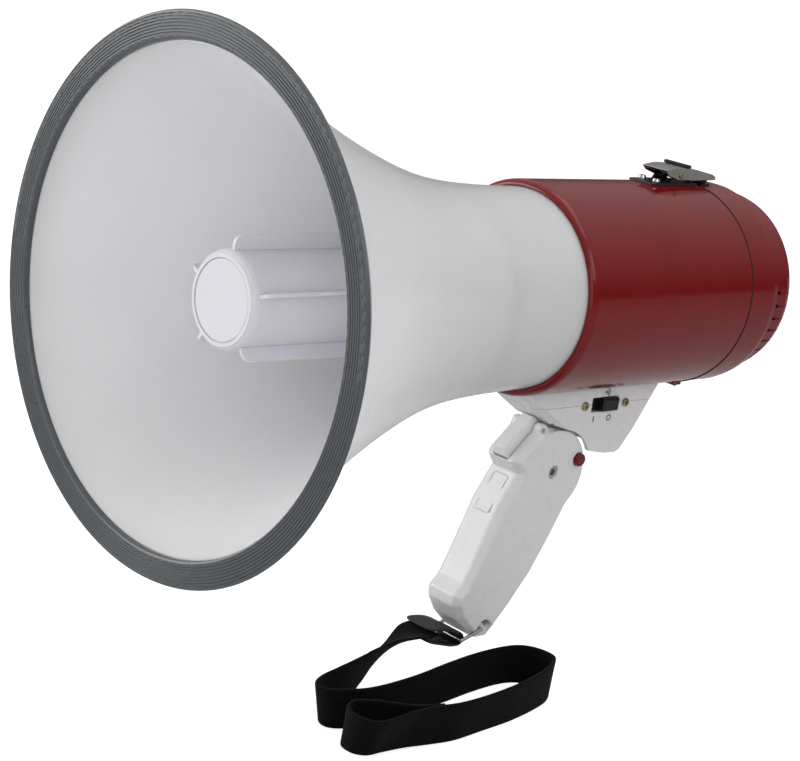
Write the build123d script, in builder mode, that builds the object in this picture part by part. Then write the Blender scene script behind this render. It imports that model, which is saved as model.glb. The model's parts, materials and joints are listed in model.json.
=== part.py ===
from build123d import *
import math
import os

# Handheld megaphone: a white re-entrant horn with a grey rim trim, a red barrel
# that holds the driver, the amplifier and eight C cells, a red rear cap closed by
# a snap latch, and a white pistol grip that folds back under the barrel.
#
# Frame: millimetres, +Z up, +X out of the mouth, +Y to the user's left.
# The origin is the middle of the grip, where the hand closes round it.
# Stations along the horn are given as distances back from the mouth plane.

os.makedirs("parts", exist_ok=True)

# ---------------------------------------------------------------- driving sizes
MOUTH_X = 220.0  # mouth plane ahead of the grip centre
AXIS_Z = 130.0  # horn axis above the grip centre
MOUTH_R = 115.0  # outside radius of the rim trim
TRIM_INNER_R = 100.8
BARREL_R = 50.8
BARREL_WALL = 2.4
BARREL_FRONT = 198.4  # stations, back from the mouth plane
BARREL_BACK = 317.0
CAP_STEP = 341.5
CAP_BACK = 358.0
COLLAR_R = 46.4
HORN_WALL = 2.0
HORN_BACK = 206.0
HORN_FLANGE_R = 109.5
CONE_R = 21.0  # drum of the reflector
FIN_R = 25.5
FIN_COUNT = 5
FIN_THICK = 1.5
CELL_R = 13.1  # C cell
CELL_LENGTH = 50.0
CELL_COUNT = 8
CELL_CIRCLE_R = 34.6
GRIP_HALF = 11.5  # half the width of the grip
GRIP_EDGE = 3.4  # width of the grip's bevelled edges
BRACKET_HALF = 14.0
PIVOT_X = -20.0  # axis that the grip folds about
PIVOT_Z = 39.0
HEAD_R = 21.5  # round head of the grip, about that axis
SHELL_WALL = 2.4
LUG_HALF = 4.0  # the bracket's pivot lug, between the two grip shells
TRIGGER_HALF = 4.5
WEBBING_WIDTH = 20.0
WEBBING_THICK = 1.4
SURFACE_Z = -54.0  # the surface that the strap lies on

HORN_AXIS = Axis((0, 0, AXIS_Z), (1, 0, 0))
SIDE = Plane.XZ  # sketches here read as (x, z); the normal is -Y


def at(station, radius):
    """Point in the side plane, above the horn axis."""
    return (MOUTH_X - station, AXIS_Z + radius)


def band(front, back, inner, outer):
    """Rectangle between two stations and two radii, for turning about the axis."""
    with Locations(at((front + back) / 2, (inner + outer) / 2)):
        Rectangle(back - front, outer - inner)


def cross_plane(station):
    """Plane across the horn axis at a station, seen from the front."""
    return Plane(
        origin=(MOUTH_X - station, 0, AXIS_Z), x_dir=(0, 1, 0), z_dir=(1, 0, 0)
    )


def side_plane(y):
    """Side view plane at a distance y to the left; it extrudes towards -Y."""
    return Plane.XZ.offset(-y)


# ------------------------------------------------------------------ horn and rim
HORN_OUTER = [
    (5.1, 103.6),
    (30.0, 90.6),
    (60.0, 76.2),
    (89.4, 64.2),
    (107.6, 57.9),
    (126.0, 53.0),
    (145.0, 49.9),
    (164.0, 48.3),
    (184.0, 47.5),
    (HORN_BACK, 47.2),
]


def inside_of(outline, wall):
    """The same outline moved inward by the wall, square to its own slope."""
    inner = []
    for i, (station, radius) in enumerate(outline):
        before = outline[max(i - 1, 0)]
        after = outline[min(i + 1, len(outline) - 1)]
        slope = math.atan2(before[1] - after[1], after[0] - before[0])
        inner.append(
            (station - wall * math.sin(slope), radius - wall * math.cos(slope))
        )
    return inner


horn_inner = inside_of(HORN_OUTER, HORN_WALL)
horn_inner[-1] = (HORN_BACK, HORN_OUTER[-1][1] - HORN_WALL)
horn_inner[0] = (3.1, 102.4)

with BuildPart() as horn_bell:
    with BuildSketch(SIDE):
        with BuildLine():
            outer_curve = Spline(*[at(*p) for p in HORN_OUTER])
            inner_curve = Spline(*[at(*p) for p in reversed(horn_inner)])
            Line(outer_curve @ 1, inner_curve @ 0)
            Polyline(
                inner_curve @ 1,
                at(3.1, HORN_FLANGE_R),
                at(5.1, HORN_FLANGE_R),
                outer_curve @ 0,
            )
        make_face()
    revolve(axis=HORN_AXIS)
    # foot flange against the driver plate
    with BuildSketch(SIDE):
        band(HORN_BACK - 2.5, HORN_BACK, 41.0, 45.6)
    revolve(axis=HORN_AXIS)
horn_bell.part.label = "horn_bell"
export_step(horn_bell.part, "parts/horn_bell.step")

# rubber trim: a U channel pressed over the bell's flange, ribbed on its face
RIB_COUNT = 8
with BuildPart() as rim_trim:
    with BuildSketch(SIDE) as trim_profile:
        with BuildLine():
            Polyline(
                at(1.6, TRIM_INNER_R),
                at(0.5, TRIM_INNER_R + 0.5),
                at(0, TRIM_INNER_R + 1.7),
                at(0, MOUTH_R - 1.6),
                at(0.4, MOUTH_R - 0.5),
                at(1.4, MOUTH_R),
                at(7.0, 108.6),
                at(7.0, 106.5),
                at(5.2, 106.5),
                at(5.2, HORN_FLANGE_R + 0.1),
                at(3.0, HORN_FLANGE_R + 0.1),
                at(3.0, 102.2),
                at(4.2, 101.5),
                at(4.2, TRIM_INNER_R),
                close=True,
            )
        make_face()
        rib_pitch = (MOUTH_R - TRIM_INNER_R - 3.6) / (RIB_COUNT - 1)
        for i in range(RIB_COUNT):
            with Locations(at(0, TRIM_INNER_R + 1.8 + i * rib_pitch)):
                Circle(0.42, mode=Mode.SUBTRACT)
    revolve(axis=HORN_AXIS)
rim_trim.part.label = "rim_trim"
export_step(rim_trim.part, "parts/rim_trim.step")

# -------------------------------------------------- reflector, tube and driver
CONE_FRONT = 26.0
CONE_BACK = 104.0
CONE_WALL = 2.0
SPIDER_FRONT = 146.0
SPIDER_BACK = 154.0
FIN_TURN = 18.0  # degrees, so that one fin stands straight up

with BuildPart() as reflector:
    with BuildSketch(SIDE):
        with BuildLine():
            Polyline(
                at(CONE_FRONT + 1.0, 0),
                at(CONE_FRONT + 1.0, 17.5),
                at(CONE_FRONT, 17.5),
                at(CONE_FRONT, 18.9),
                at(CONE_FRONT + 0.6, 19.4),
                at(CONE_FRONT + 1.6, 20.3),
                at(CONE_FRONT + 3.2, 20.9),
                at(CONE_FRONT + 4.6, CONE_R),
                at(CONE_BACK, CONE_R),
                at(CONE_BACK, CONE_R - CONE_WALL),
                at(CONE_FRONT + 6.0, CONE_R - CONE_WALL),
                at(CONE_FRONT + 3.2, CONE_R - CONE_WALL - 2.0),
                at(CONE_FRONT + 3.2, 0),
                close=True,
            )
        make_face()
    revolve(axis=HORN_AXIS)
reflector.part.label = "reflector"
export_step(reflector.part, "parts/reflector.step")

# the ring that holds the fins in the throat of the horn
with BuildPart() as reflector_ring:
    with BuildSketch(SIDE):
        band(SPIDER_FRONT, SPIDER_BACK, 44.4, 46.4)
    revolve(axis=HORN_AXIS)
reflector_ring.part.label = "reflector_ring"
export_step(reflector_ring.part, "parts/reflector_ring.step")

# one fin along the drum, and one strut from its end out to the ring
with BuildPart() as fin:
    with BuildSketch(SIDE.offset(-FIN_THICK / 2)):
        with BuildLine():
            Polyline(
                at(CONE_FRONT + 2.9, CONE_R + 0.03),
                at(CONE_FRONT + 2.9, FIN_R - 2.4),
                at(CONE_FRONT + 3.6, FIN_R - 0.9),
                at(CONE_FRONT + 5.6, FIN_R),
                at(CONE_BACK, FIN_R + 0.7),
                at(CONE_BACK, CONE_R + 0.03),
                close=True,
            )
        make_face()
    extrude(amount=FIN_THICK)

with BuildPart() as strut:
    with BuildSketch(SIDE.offset(-FIN_THICK / 2)):
        with BuildLine():
            Polyline(
                at(CONE_BACK + 0.05, CONE_R - CONE_WALL),
                at(CONE_BACK + 0.05, FIN_R + 0.7),
                at(CONE_BACK + 8, FIN_R + 0.8),
                at(SPIDER_FRONT - 2, 44.3),
                at(SPIDER_BACK, 44.3),
                at(SPIDER_BACK, 40.0),
                at(SPIDER_FRONT - 8, 30.0),
                at(CONE_BACK + 8, CONE_R - CONE_WALL),
                close=True,
            )
        make_face()
    extrude(amount=FIN_THICK)

with BuildPart() as reflector_fins:
    for i in range(FIN_COUNT):
        add(fin.part.rotate(HORN_AXIS, FIN_TURN + i * 360 / FIN_COUNT - 90))
reflector_fins.part.label = "reflector_fins"
export_step(reflector_fins.part, "parts/reflector_fins.step")

with BuildPart() as reflector_struts:
    for i in range(FIN_COUNT):
        add(strut.part.rotate(HORN_AXIS, FIN_TURN + i * 360 / FIN_COUNT - 90))
reflector_struts.part.label = "reflector_struts"
export_step(reflector_struts.part, "parts/reflector_struts.step")

with BuildPart() as nose_disc:
    with BuildSketch(SIDE):
        with BuildLine():
            Polyline(
                at(CONE_FRONT + 0.2, 0),
                at(CONE_FRONT + 0.2, 16.7),
                at(CONE_FRONT + 0.5, 17.1),
                at(CONE_FRONT + 1.0, 17.1),
                at(CONE_FRONT + 1.0, 0),
                close=True,
            )
        make_face()
    revolve(axis=HORN_AXIS)
nose_disc.part.label = "nose_disc"
export_step(nose_disc.part, "parts/nose_disc.step")

PLATE_FRONT = HORN_BACK
PLATE_BACK = HORN_BACK + 4.0
TUBE_FRONT = 48.0
DRIVER_BOLT_R = 37.0
DRIVER_BOLTS = 4

with BuildPart() as throat_tube:
    with BuildSketch(SIDE):
        with BuildLine():
            Polyline(
                at(TUBE_FRONT, 13.2),
                at(TUBE_FRONT, 14.6),
                at(PLATE_FRONT - 4, 11.0),
                at(PLATE_FRONT - 2.5, 18.0),
                at(PLATE_FRONT, 18.0),
                at(PLATE_FRONT, 9.0),
                close=True,
            )
        make_face()
    revolve(axis=HORN_AXIS)
throat_tube.part.label = "throat_tube"
export_step(throat_tube.part, "parts/throat_tube.step")

with BuildPart() as driver_plate:
    with BuildSketch(SIDE):
        band(PLATE_FRONT, PLATE_BACK, 9.0, 48.2)
    revolve(axis=HORN_AXIS)
    with BuildSketch(SIDE):
        band(PLATE_BACK, PLATE_BACK + 2.0, 20.0, 31.5)
    revolve(axis=HORN_AXIS)
    # room for the diaphragm's dome
    with BuildSketch(SIDE):
        band(PLATE_BACK - 3.2, PLATE_BACK, 0, 13.4)
    revolve(axis=HORN_AXIS, mode=Mode.SUBTRACT)
    with BuildSketch(cross_plane(PLATE_FRONT)):
        with PolarLocations(DRIVER_BOLT_R, DRIVER_BOLTS, start_angle=45):
            Circle(1.7)
    extrude(amount=-10, mode=Mode.SUBTRACT)
driver_plate.part.label = "driver_plate"
export_step(driver_plate.part, "parts/driver_plate.step")

DIAPHRAGM_R = 19.0
TOP_PLATE_FRONT = PLATE_BACK + 2.0
MAGNET_FRONT = TOP_PLATE_FRONT + 4.0
YOKE_FRONT = MAGNET_FRONT + 14.0
YOKE_BACK = YOKE_FRONT + 5.0

with BuildPart() as driver_diaphragm:
    with BuildSketch(SIDE):
        with BuildLine():
            Polyline(
                at(PLATE_BACK + 0.6, DIAPHRAGM_R),
                at(PLATE_BACK + 0.6, 12.8),
                at(PLATE_BACK - 0.9, 10.4),
                at(PLATE_BACK - 2.0, 7.0),
                at(PLATE_BACK - 2.6, 3.5),
                at(PLATE_BACK - 2.8, 0),
                at(PLATE_BACK - 2.2, 0),
                at(PLATE_BACK - 2.0, 3.4),
                at(PLATE_BACK - 1.4, 6.8),
                at(PLATE_BACK - 0.3, 10.0),
                at(PLATE_BACK + 1.2, 12.3),
                at(PLATE_BACK + 1.2, DIAPHRAGM_R),
                close=True,
            )
        make_face()
    revolve(axis=HORN_AXIS)
driver_diaphragm.part.label = "driver_diaphragm"
export_step(driver_diaphragm.part, "parts/driver_diaphragm.step")

with BuildPart() as voice_coil:
    with BuildSketch(SIDE):
        band(PLATE_BACK + 1.2, PLATE_BACK + 7.2, 12.4, 13.2)
    revolve(axis=HORN_AXIS)
voice_coil.part.label = "voice_coil"
export_step(voice_coil.part, "parts/voice_coil.step")

with BuildPart() as driver_top_plate:
    with BuildSketch(SIDE):
        band(TOP_PLATE_FRONT, MAGNET_FRONT, 13.8, 31.0)
    revolve(axis=HORN_AXIS)
driver_top_plate.part.label = "driver_top_plate"
export_step(driver_top_plate.part, "parts/driver_top_plate.step")

with BuildPart() as driver_magnet:
    with BuildSketch(SIDE):
        band(MAGNET_FRONT, YOKE_FRONT, 17.0, 34.0)
    revolve(axis=HORN_AXIS)
driver_magnet.part.label = "driver_magnet"
export_step(driver_magnet.part, "parts/driver_magnet.step")

with BuildPart() as driver_yoke:
    with BuildSketch(SIDE):
        band(YOKE_FRONT, YOKE_BACK, 0, 31.0)
        band(PLATE_BACK + 2.4, YOKE_FRONT, 0, 11.8)
    revolve(axis=HORN_AXIS)
driver_yoke.part.label = "driver_yoke"
export_step(driver_yoke.part, "parts/driver_yoke.step")

with BuildPart() as driver_screws:
    with BuildSketch(cross_plane(PLATE_FRONT - 4)):
        with PolarLocations(DRIVER_BOLT_R, DRIVER_BOLTS, start_angle=45):
            Circle(1.6)
    extrude(amount=-16)
    with BuildSketch(cross_plane(PLATE_BACK)):
        with PolarLocations(DRIVER_BOLT_R, DRIVER_BOLTS, start_angle=45):
            Circle(2.9)
    extrude(amount=-2.2)
driver_screws.part.label = "driver_screws"
export_step(driver_screws.part, "parts/driver_screws.step")

# ------------------------------------------------------------------- the barrel
LATCH_SCREW_X = -65.0
LATCH_SCREW_Y = 4.5
SADDLE_FRONT_X = 16.0
SADDLE_BACK_X = -88.5
SADDLE_SCREW_XS = (-6.5, -71.5)
HINGE_X = MOUTH_X - BARREL_BACK
HINGE_Z = AXIS_Z - BARREL_R + 1.5
HINGE_HALF = 16.0

with BuildPart() as barrel:
    with BuildSketch(SIDE):
        with BuildLine():
            front_lip = Polyline(
                at(BARREL_BACK, BARREL_R - BARREL_WALL),
                at(BARREL_BACK, BARREL_R),
                at(BARREL_FRONT + 4.2, BARREL_R),
            )
            lip_round = Spline(
                front_lip @ 1,
                at(BARREL_FRONT + 1.7, BARREL_R - 0.55),
                at(BARREL_FRONT + 0.3, BARREL_R - 1.7),
                at(BARREL_FRONT, BARREL_R - 3.1),
            )
            Polyline(
                lip_round @ 1,
                at(BARREL_FRONT + 1.6, BARREL_R - 3.3),
                at(BARREL_FRONT + 4.0, BARREL_R - BARREL_WALL),
                front_lip @ 0,
            )
        make_face()
    revolve(axis=HORN_AXIS)
    # holes for the latch screws
    with BuildSketch(Plane.XY.offset(AXIS_Z + 40)):
        with Locations((LATCH_SCREW_X, LATCH_SCREW_Y), (LATCH_SCREW_X, -LATCH_SCREW_Y)):
            Circle(1.1)
    extrude(amount=20, mode=Mode.SUBTRACT)
    # holes for the saddle screws and the cable from the grip
    with BuildSketch(Plane.XY.offset(AXIS_Z - 40)):
        with Locations(*[(x, 0) for x in SADDLE_SCREW_XS]):
            Circle(1.9)
        with Locations((-30, 0)):
            SlotOverall(14, 6)
    extrude(amount=-20, mode=Mode.SUBTRACT)
    # relief for the hinge of the rear cap, at the bottom of the seam
    with BuildSketch(Plane.XY.offset(AXIS_Z - BARREL_R - 2)):
        with Locations((HINGE_X + 1.6, 0)):
            Rectangle(4.2, 2 * HINGE_HALF + 1)
    extrude(amount=5.4, mode=Mode.SUBTRACT)
barrel.part.label = "barrel"
export_step(barrel.part, "parts/barrel.step")

# ----------------------------------------------------------------- the rear cap
CAP_FRONT = BARREL_BACK + 0.7
CAP_WALL = 2.4
SPIGOT_R = BARREL_R - BARREL_WALL - 0.5
SPIGOT_LENGTH = 5.0
SLOT_PITCH = 8.35  # degrees between the vent slots round the collar
SLOT_COUNT = 24
SLOT_WIDTH = 1.7
MIC_Z = AXIS_Z + 16.0
KNOB_Z = AXIS_Z - 20.0
KNOB_R = 9.0

with BuildPart() as rear_cap:
    with BuildSketch(SIDE):
        with BuildLine():
            Polyline(
                at(CAP_FRONT, BARREL_R - 2.9),
                at(CAP_FRONT, BARREL_R),
                at(CAP_STEP - 6.0, BARREL_R),
                at(CAP_STEP - 2.6, BARREL_R - 0.5),
                at(CAP_STEP - 0.9, BARREL_R - 1.5),
                at(CAP_STEP, BARREL_R - 2.9),
                at(CAP_STEP, COLLAR_R),
                at(CAP_BACK - 5.5, COLLAR_R),
                at(CAP_BACK - 2.6, COLLAR_R - 0.9),
                at(CAP_BACK - 0.8, COLLAR_R - 2.8),
                at(CAP_BACK, COLLAR_R - 5.6),
                at(CAP_BACK, 0),
                at(CAP_BACK - CAP_WALL, 0),
                at(CAP_BACK - CAP_WALL, COLLAR_R - 6.0),
                at(CAP_BACK - 5.5, COLLAR_R - CAP_WALL),
                at(CAP_STEP - 1.2, COLLAR_R - CAP_WALL),
                at(CAP_STEP - 3.0, SPIGOT_R - 2.0),
                at(CAP_FRONT - SPIGOT_LENGTH, SPIGOT_R - 2.0),
                at(CAP_FRONT - SPIGOT_LENGTH, SPIGOT_R),
                at(CAP_FRONT, SPIGOT_R),
                close=True,
            )
        make_face()
    revolve(axis=HORN_AXIS)
    # vent slots over the lower half of the collar
    with BuildSketch(cross_plane(CAP_STEP + 1.2)):
        with PolarLocations(
            COLLAR_R - 1.2, SLOT_COUNT, start_angle=-90 - SLOT_PITCH * (SLOT_COUNT - 1) / 2,
            angular_range=SLOT_PITCH * (SLOT_COUNT - 1), endpoint=True,
        ):
            Rectangle(6.0, SLOT_WIDTH)
    extrude(amount=-5.0, mode=Mode.SUBTRACT)
    with BuildSketch(cross_plane(CAP_STEP + 6.0)):
        with PolarLocations(
            COLLAR_R, SLOT_COUNT, start_angle=-90 - SLOT_PITCH * (SLOT_COUNT - 1) / 2,
            angular_range=SLOT_PITCH * (SLOT_COUNT - 1), endpoint=True,
        ):
            Rectangle(1.2, 0.9)
    extrude(amount=-8.0, mode=Mode.SUBTRACT)
    # hole for the microphone and for the volume shaft
    with BuildSketch(Plane(origin=(MOUTH_X - CAP_BACK, 0, MIC_Z), x_dir=(0, 1, 0), z_dir=(1, 0, 0))):
        Circle(13.0)
    extrude(amount=CAP_WALL + 1, both=True, mode=Mode.SUBTRACT)
    with BuildSketch(Plane(origin=(MOUTH_X - CAP_BACK, 0, KNOB_Z), x_dir=(0, 1, 0), z_dir=(1, 0, 0))):
        Circle(3.6)
    extrude(amount=CAP_WALL + 1, both=True, mode=Mode.SUBTRACT)
    # relief round the hinge, and the hinge's two outer knuckles
    with BuildSketch(Plane.XY.offset(AXIS_Z - BARREL_R - 2)):
        with Locations((HINGE_X - 1.6, 0)):
            Rectangle(4.2, 2 * HINGE_HALF + 1)
    extrude(amount=5.4, mode=Mode.SUBTRACT)
    for y in (-11.5, 11.5):
        with BuildSketch(side_plane(y + 4.0)):
            with Locations((HINGE_X, HINGE_Z)):
                Circle(1.5)
            with Locations((HINGE_X - 2.2, HINGE_Z)):
                Rectangle(4.4, 2.0)
        extrude(amount=8.0)
    with BuildSketch(side_plane(20)):
        with Locations((HINGE_X, HINGE_Z)):
            Circle(0.65)
    extrude(amount=40, mode=Mode.SUBTRACT)
rear_cap.part.label = "rear_cap"
export_step(rear_cap.part, "parts/rear_cap.step")

with BuildPart() as cap_hinge:
    # middle knuckle, fixed to the barrel, with the pin through all three
    with BuildSketch(side_plane(7.2)):
        with Locations((HINGE_X, HINGE_Z)):
            Circle(1.5)
        with Locations((HINGE_X + 1.8, HINGE_Z)):
            Rectangle(3.6, 2.0)
    extrude(amount=14.4)
    with BuildSketch(side_plane(15.2)):
        with Locations((HINGE_X, HINGE_Z)):
            Circle(0.6)
    extrude(amount=30.4)
cap_hinge.part.label = "cap_hinge"
export_step(cap_hinge.part, "parts/cap_hinge.step")

with BuildPart() as seam_gasket:
    with BuildSketch(SIDE):
        band(BARREL_BACK + 0.05, CAP_FRONT - 0.1, SPIGOT_R + 0.35, BARREL_R - 0.5)
    revolve(axis=HORN_AXIS)
    with BuildSketch(Plane.XY.offset(AXIS_Z - BARREL_R - 2)):
        with Locations((HINGE_X, 0)):
            Rectangle(8, 2 * HINGE_HALF + 1)
    extrude(amount=6.5, mode=Mode.SUBTRACT)
seam_gasket.part.label = "seam_gasket"
export_step(seam_gasket.part, "parts/seam_gasket.step")

# microphone and volume control in the rear face
def rear_plane(station, z):
    """Plane parallel to the rear face; it extrudes rearward."""
    return Plane(origin=(MOUTH_X - station, 0, z), x_dir=(0, -1, 0), z_dir=(-1, 0, 0))


with BuildPart() as mic_grille:
    with BuildSketch(rear_plane(CAP_BACK - CAP_WALL, MIC_Z)):
        Circle(12.8)
    extrude(amount=CAP_WALL + 0.8)
    fillet(mic_grille.edges().group_by(Axis.X)[0], 0.7)
    with BuildSketch(rear_plane(CAP_BACK - CAP_WALL, MIC_Z)):
        Circle(0.8)
        with PolarLocations(4.2, 6):
            Circle(0.8)
        with PolarLocations(8.4, 12):
            Circle(0.8)
    extrude(amount=6, mode=Mode.SUBTRACT)
mic_grille.part.label = "mic_grille"
export_step(mic_grille.part, "parts/mic_grille.step")

with BuildPart() as mic_capsule:
    with BuildSketch(rear_plane(CAP_BACK - CAP_WALL - 7.0, MIC_Z)):
        Circle(4.9)
    extrude(amount=6.7)
mic_capsule.part.label = "mic_capsule"
export_step(mic_capsule.part, "parts/mic_capsule.step")

with BuildPart() as volume_control:
    with BuildSketch(rear_plane(CAP_BACK - CAP_WALL - 7.2, KNOB_Z)):
        Circle(8.0)
    extrude(amount=7.0)
    with BuildSketch(rear_plane(CAP_BACK - CAP_WALL - 0.2, KNOB_Z)):
        Circle(3.0)
    extrude(amount=CAP_WALL + 6.0)
volume_control.part.label = "volume_control"
export_step(volume_control.part, "parts/volume_control.step")

with BuildPart() as volume_knob:
    with BuildSketch(rear_plane(CAP_BACK + 0.5, KNOB_Z)):
        Circle(KNOB_R)
        with PolarLocations(KNOB_R, 24):
            Circle(0.55, mode=Mode.SUBTRACT)
    extrude(amount=8.5)
    fillet(volume_knob.faces().sort_by(Axis.X)[0].edges(), 0.45)
    with BuildSketch(rear_plane(CAP_BACK + 0.5, KNOB_Z)):
        Circle(3.05)
    extrude(amount=5.8, mode=Mode.SUBTRACT)
    # pointer groove
    with BuildSketch(rear_plane(CAP_BACK + 8.5, KNOB_Z)):
        with Locations((0, 5.0)):
            Rectangle(1.0, 6.4)
    extrude(amount=2, mode=Mode.SUBTRACT)
volume_knob.part.label = "volume_knob"
export_step(volume_knob.part, "parts/volume_knob.step")

# ------------------------------------------------- batteries and the amplifier
TRAY_FRONT = 258.5
CELL_FRONT = TRAY_FRONT + 3.5
CELL_BACK = CELL_FRONT + CELL_LENGTH

with BuildPart() as battery_tray:
    with BuildSketch(SIDE):
        band(TRAY_FRONT, TRAY_FRONT + 1.8, 0, 48.0)
        band(TRAY_FRONT, CELL_BACK - 4, 0, 18.0)
    revolve(axis=HORN_AXIS)
    with BuildSketch(SIDE):
        band(TRAY_FRONT + 4, CELL_BACK + 2, 0, 16.0)
    revolve(axis=HORN_AXIS, mode=Mode.SUBTRACT)
battery_tray.part.label = "battery_tray"
export_step(battery_tray.part, "parts/battery_tray.step")

with BuildPart() as battery_cells:
    with BuildSketch(cross_plane(CELL_FRONT + 1.5)):
        with PolarLocations(CELL_CIRCLE_R, CELL_COUNT):
            Circle(CELL_R)
    extrude(amount=-(CELL_LENGTH - 1.5))
    with BuildSketch(cross_plane(CELL_FRONT)):
        with PolarLocations(CELL_CIRCLE_R, CELL_COUNT):
            Circle(3.2)
    extrude(amount=-1.5)
battery_cells.part.label = "battery_cells"
export_step(battery_cells.part, "parts/battery_cells.step")

with BuildPart() as battery_contacts:
    with BuildSketch(cross_plane(TRAY_FRONT + 1.8)):
        with PolarLocations(CELL_CIRCLE_R, CELL_COUNT):
            Rectangle(9, 9)
    extrude(amount=-0.5)
battery_contacts.part.label = "battery_contacts"
export_step(battery_contacts.part, "parts/battery_contacts.step")

with BuildPart() as contact_board:
    # carried by the rear cap; it closes the string of cells
    with BuildSketch(cross_plane(CELL_BACK + 3.2)):
        Circle(SPIGOT_R - 2.6)
        with Locations((0, 0)):
            Circle(10, mode=Mode.SUBTRACT)
    extrude(amount=-1.6)
contact_board.part.label = "contact_board"
export_step(contact_board.part, "parts/contact_board.step")

with BuildPart() as contact_springs:
    # each conical spring as three turns under load
    for i in range(3):
        with BuildSketch(SIDE):
            with Locations(at(CELL_BACK + 0.65 + i * 0.8, CELL_CIRCLE_R + 5.2 - 1.2 * i)):
                Circle(0.38)
        revolve(
            axis=Axis((0, 0, AXIS_Z + CELL_CIRCLE_R), (1, 0, 0)),
            mode=Mode.ADD,
        )
first_spring = contact_springs.part
with BuildPart() as contact_spring_set:
    for i in range(CELL_COUNT):
        add(first_spring.rotate(HORN_AXIS, i * 360 / CELL_COUNT))
contact_spring_set.part.label = "contact_springs"
export_step(contact_spring_set.part, "parts/contact_springs.step")

BOARD_FRONT = 248.0
with BuildPart() as amplifier_board:
    with BuildSketch(cross_plane(BOARD_FRONT)):
        Circle(45.0)
        with Locations((0, -40)):
            Rectangle(16, 16, mode=Mode.SUBTRACT)
    extrude(amount=-1.6)
amplifier_board.part.label = "amplifier_board"
export_step(amplifier_board.part, "parts/amplifier_board.step")

with BuildPart() as amplifier_parts:
    with BuildSketch(cross_plane(BOARD_FRONT - 0.0)):
        with Locations((38, 8), (38, -8), (-38, 8), (-38, -8)):
            Circle(4.0)
    extrude(amount=11)
    with BuildSketch(cross_plane(BOARD_FRONT + 1.6)):
        with Locations((0, 18)):
            Rectangle(34, 14)
        with Locations((-18, -12), (16, -10)):
            Rectangle(12, 9)
    extrude(amount=-7)
amplifier_parts.part.label = "amplifier_parts"
export_step(amplifier_parts.part, "parts/amplifier_parts.step")

# --------------------------------------------------------------- the snap latch
LATCH_HALF = 7.6
TOP_Z = AXIS_Z + BARREL_R
AXLE_X = -79.8
AXLE_Z = TOP_Z + 4.9
AXLE_R = 1.5
KEEPER_X = -105.0


def top_shell(x_front, length, half, thick, lift=0.15):
    """Plate curved to the top of the barrel, from x_front back by its length."""
    low_r = BARREL_R + lift
    high_r = low_r + thick
    low_z = math.sqrt(low_r**2 - half**2)
    high_z = math.sqrt(high_r**2 - half**2)
    with BuildSketch(cross_plane(MOUTH_X - x_front)) as plate:
        with BuildLine():
            ThreePointArc((-half, low_z), (0, low_r), (half, low_z))
            Line((half, low_z), (half, high_z))
            ThreePointArc((half, high_z), (0, high_r), (-half, high_z))
            Line((-half, high_z), (-half, low_z))
        make_face()
    extrude(plate.sketch, amount=-length)


with BuildPart() as latch_base:
    # foot plate, curved to the barrel, with two ears for the axle
    top_shell(-58.5, 35.5, 7.0, 1.2)
    for y in (-5.5, 5.5):
        with BuildSketch(side_plane(y + 0.6)):
            with BuildLine():
                Polyline(
                    (-73.6, TOP_Z + 0.4),
                    (AXLE_X + 1.9, AXLE_Z + 1.0),
                    (AXLE_X - 1.9, AXLE_Z + 1.0),
                    (-86.0, TOP_Z + 0.4),
                    close=True,
                )
            make_face()
            with Locations((AXLE_X, AXLE_Z)):
                Circle(2.3)
        extrude(amount=1.2)
    with BuildSketch(side_plane(10)):
        with Locations((AXLE_X, AXLE_Z)):
            Circle(AXLE_R + 0.04)
    extrude(amount=20, mode=Mode.SUBTRACT)
    with BuildSketch(Plane.XY.offset(AXIS_Z + 45)):
        with Locations((LATCH_SCREW_X, LATCH_SCREW_Y), (LATCH_SCREW_X, -LATCH_SCREW_Y)):
            Circle(1.3)
    extrude(amount=20, mode=Mode.SUBTRACT)
latch_base.part.label = "latch_base"
export_step(latch_base.part, "parts/latch_base.step")

with BuildPart() as latch_screws:
    for y in (-LATCH_SCREW_Y, LATCH_SCREW_Y):
        with BuildSketch(Plane.XY.offset(TOP_Z + 1.4)):
            with Locations((LATCH_SCREW_X, y)):
                Circle(2.1)
        extrude(amount=1.3, taper=20)
        with BuildSketch(Plane.XY.offset(TOP_Z + 1.5)):
            with Locations((LATCH_SCREW_X, y)):
                Circle(1.05)
        extrude(amount=-4)
    with BuildSketch(Plane.XY.offset(TOP_Z + 2.2)):
        for y in (-LATCH_SCREW_Y, LATCH_SCREW_Y):
            with Locations((LATCH_SCREW_X, y)):
                Rectangle(2.2, 0.6)
                Rectangle(0.6, 2.2)
    extrude(amount=2, mode=Mode.SUBTRACT)
latch_screws.part.label = "latch_screws"
export_step(latch_screws.part, "parts/latch_screws.step")

with BuildPart() as latch_axle:
    with BuildSketch(side_plane(LATCH_HALF + 0.6)):
        with Locations((AXLE_X, AXLE_Z)):
            Circle(AXLE_R)
    extrude(amount=2 * LATCH_HALF + 1.2)
    fillet(latch_axle.edges().filter_by(GeomType.CIRCLE), 0.45)
latch_axle.part.label = "latch_axle"
export_step(latch_axle.part, "parts/latch_axle.step")

LEVER_OUTLINE = [
    (-67.0, TOP_Z + 7.4),
    (-76.0, TOP_Z + 8.7),
    (-87.0, TOP_Z + 8.4),
    (-97.0, TOP_Z + 7.0),
    (-105.0, TOP_Z + 5.6),
    (-107.4, TOP_Z + 4.6),
    (-107.8, TOP_Z + 2.9),
    (-104.0, TOP_Z + 2.7),
    (-90.0, TOP_Z + 2.4),
    (-78.0, TOP_Z + 2.6),
    (-70.0, TOP_Z + 4.8),
]

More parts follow.
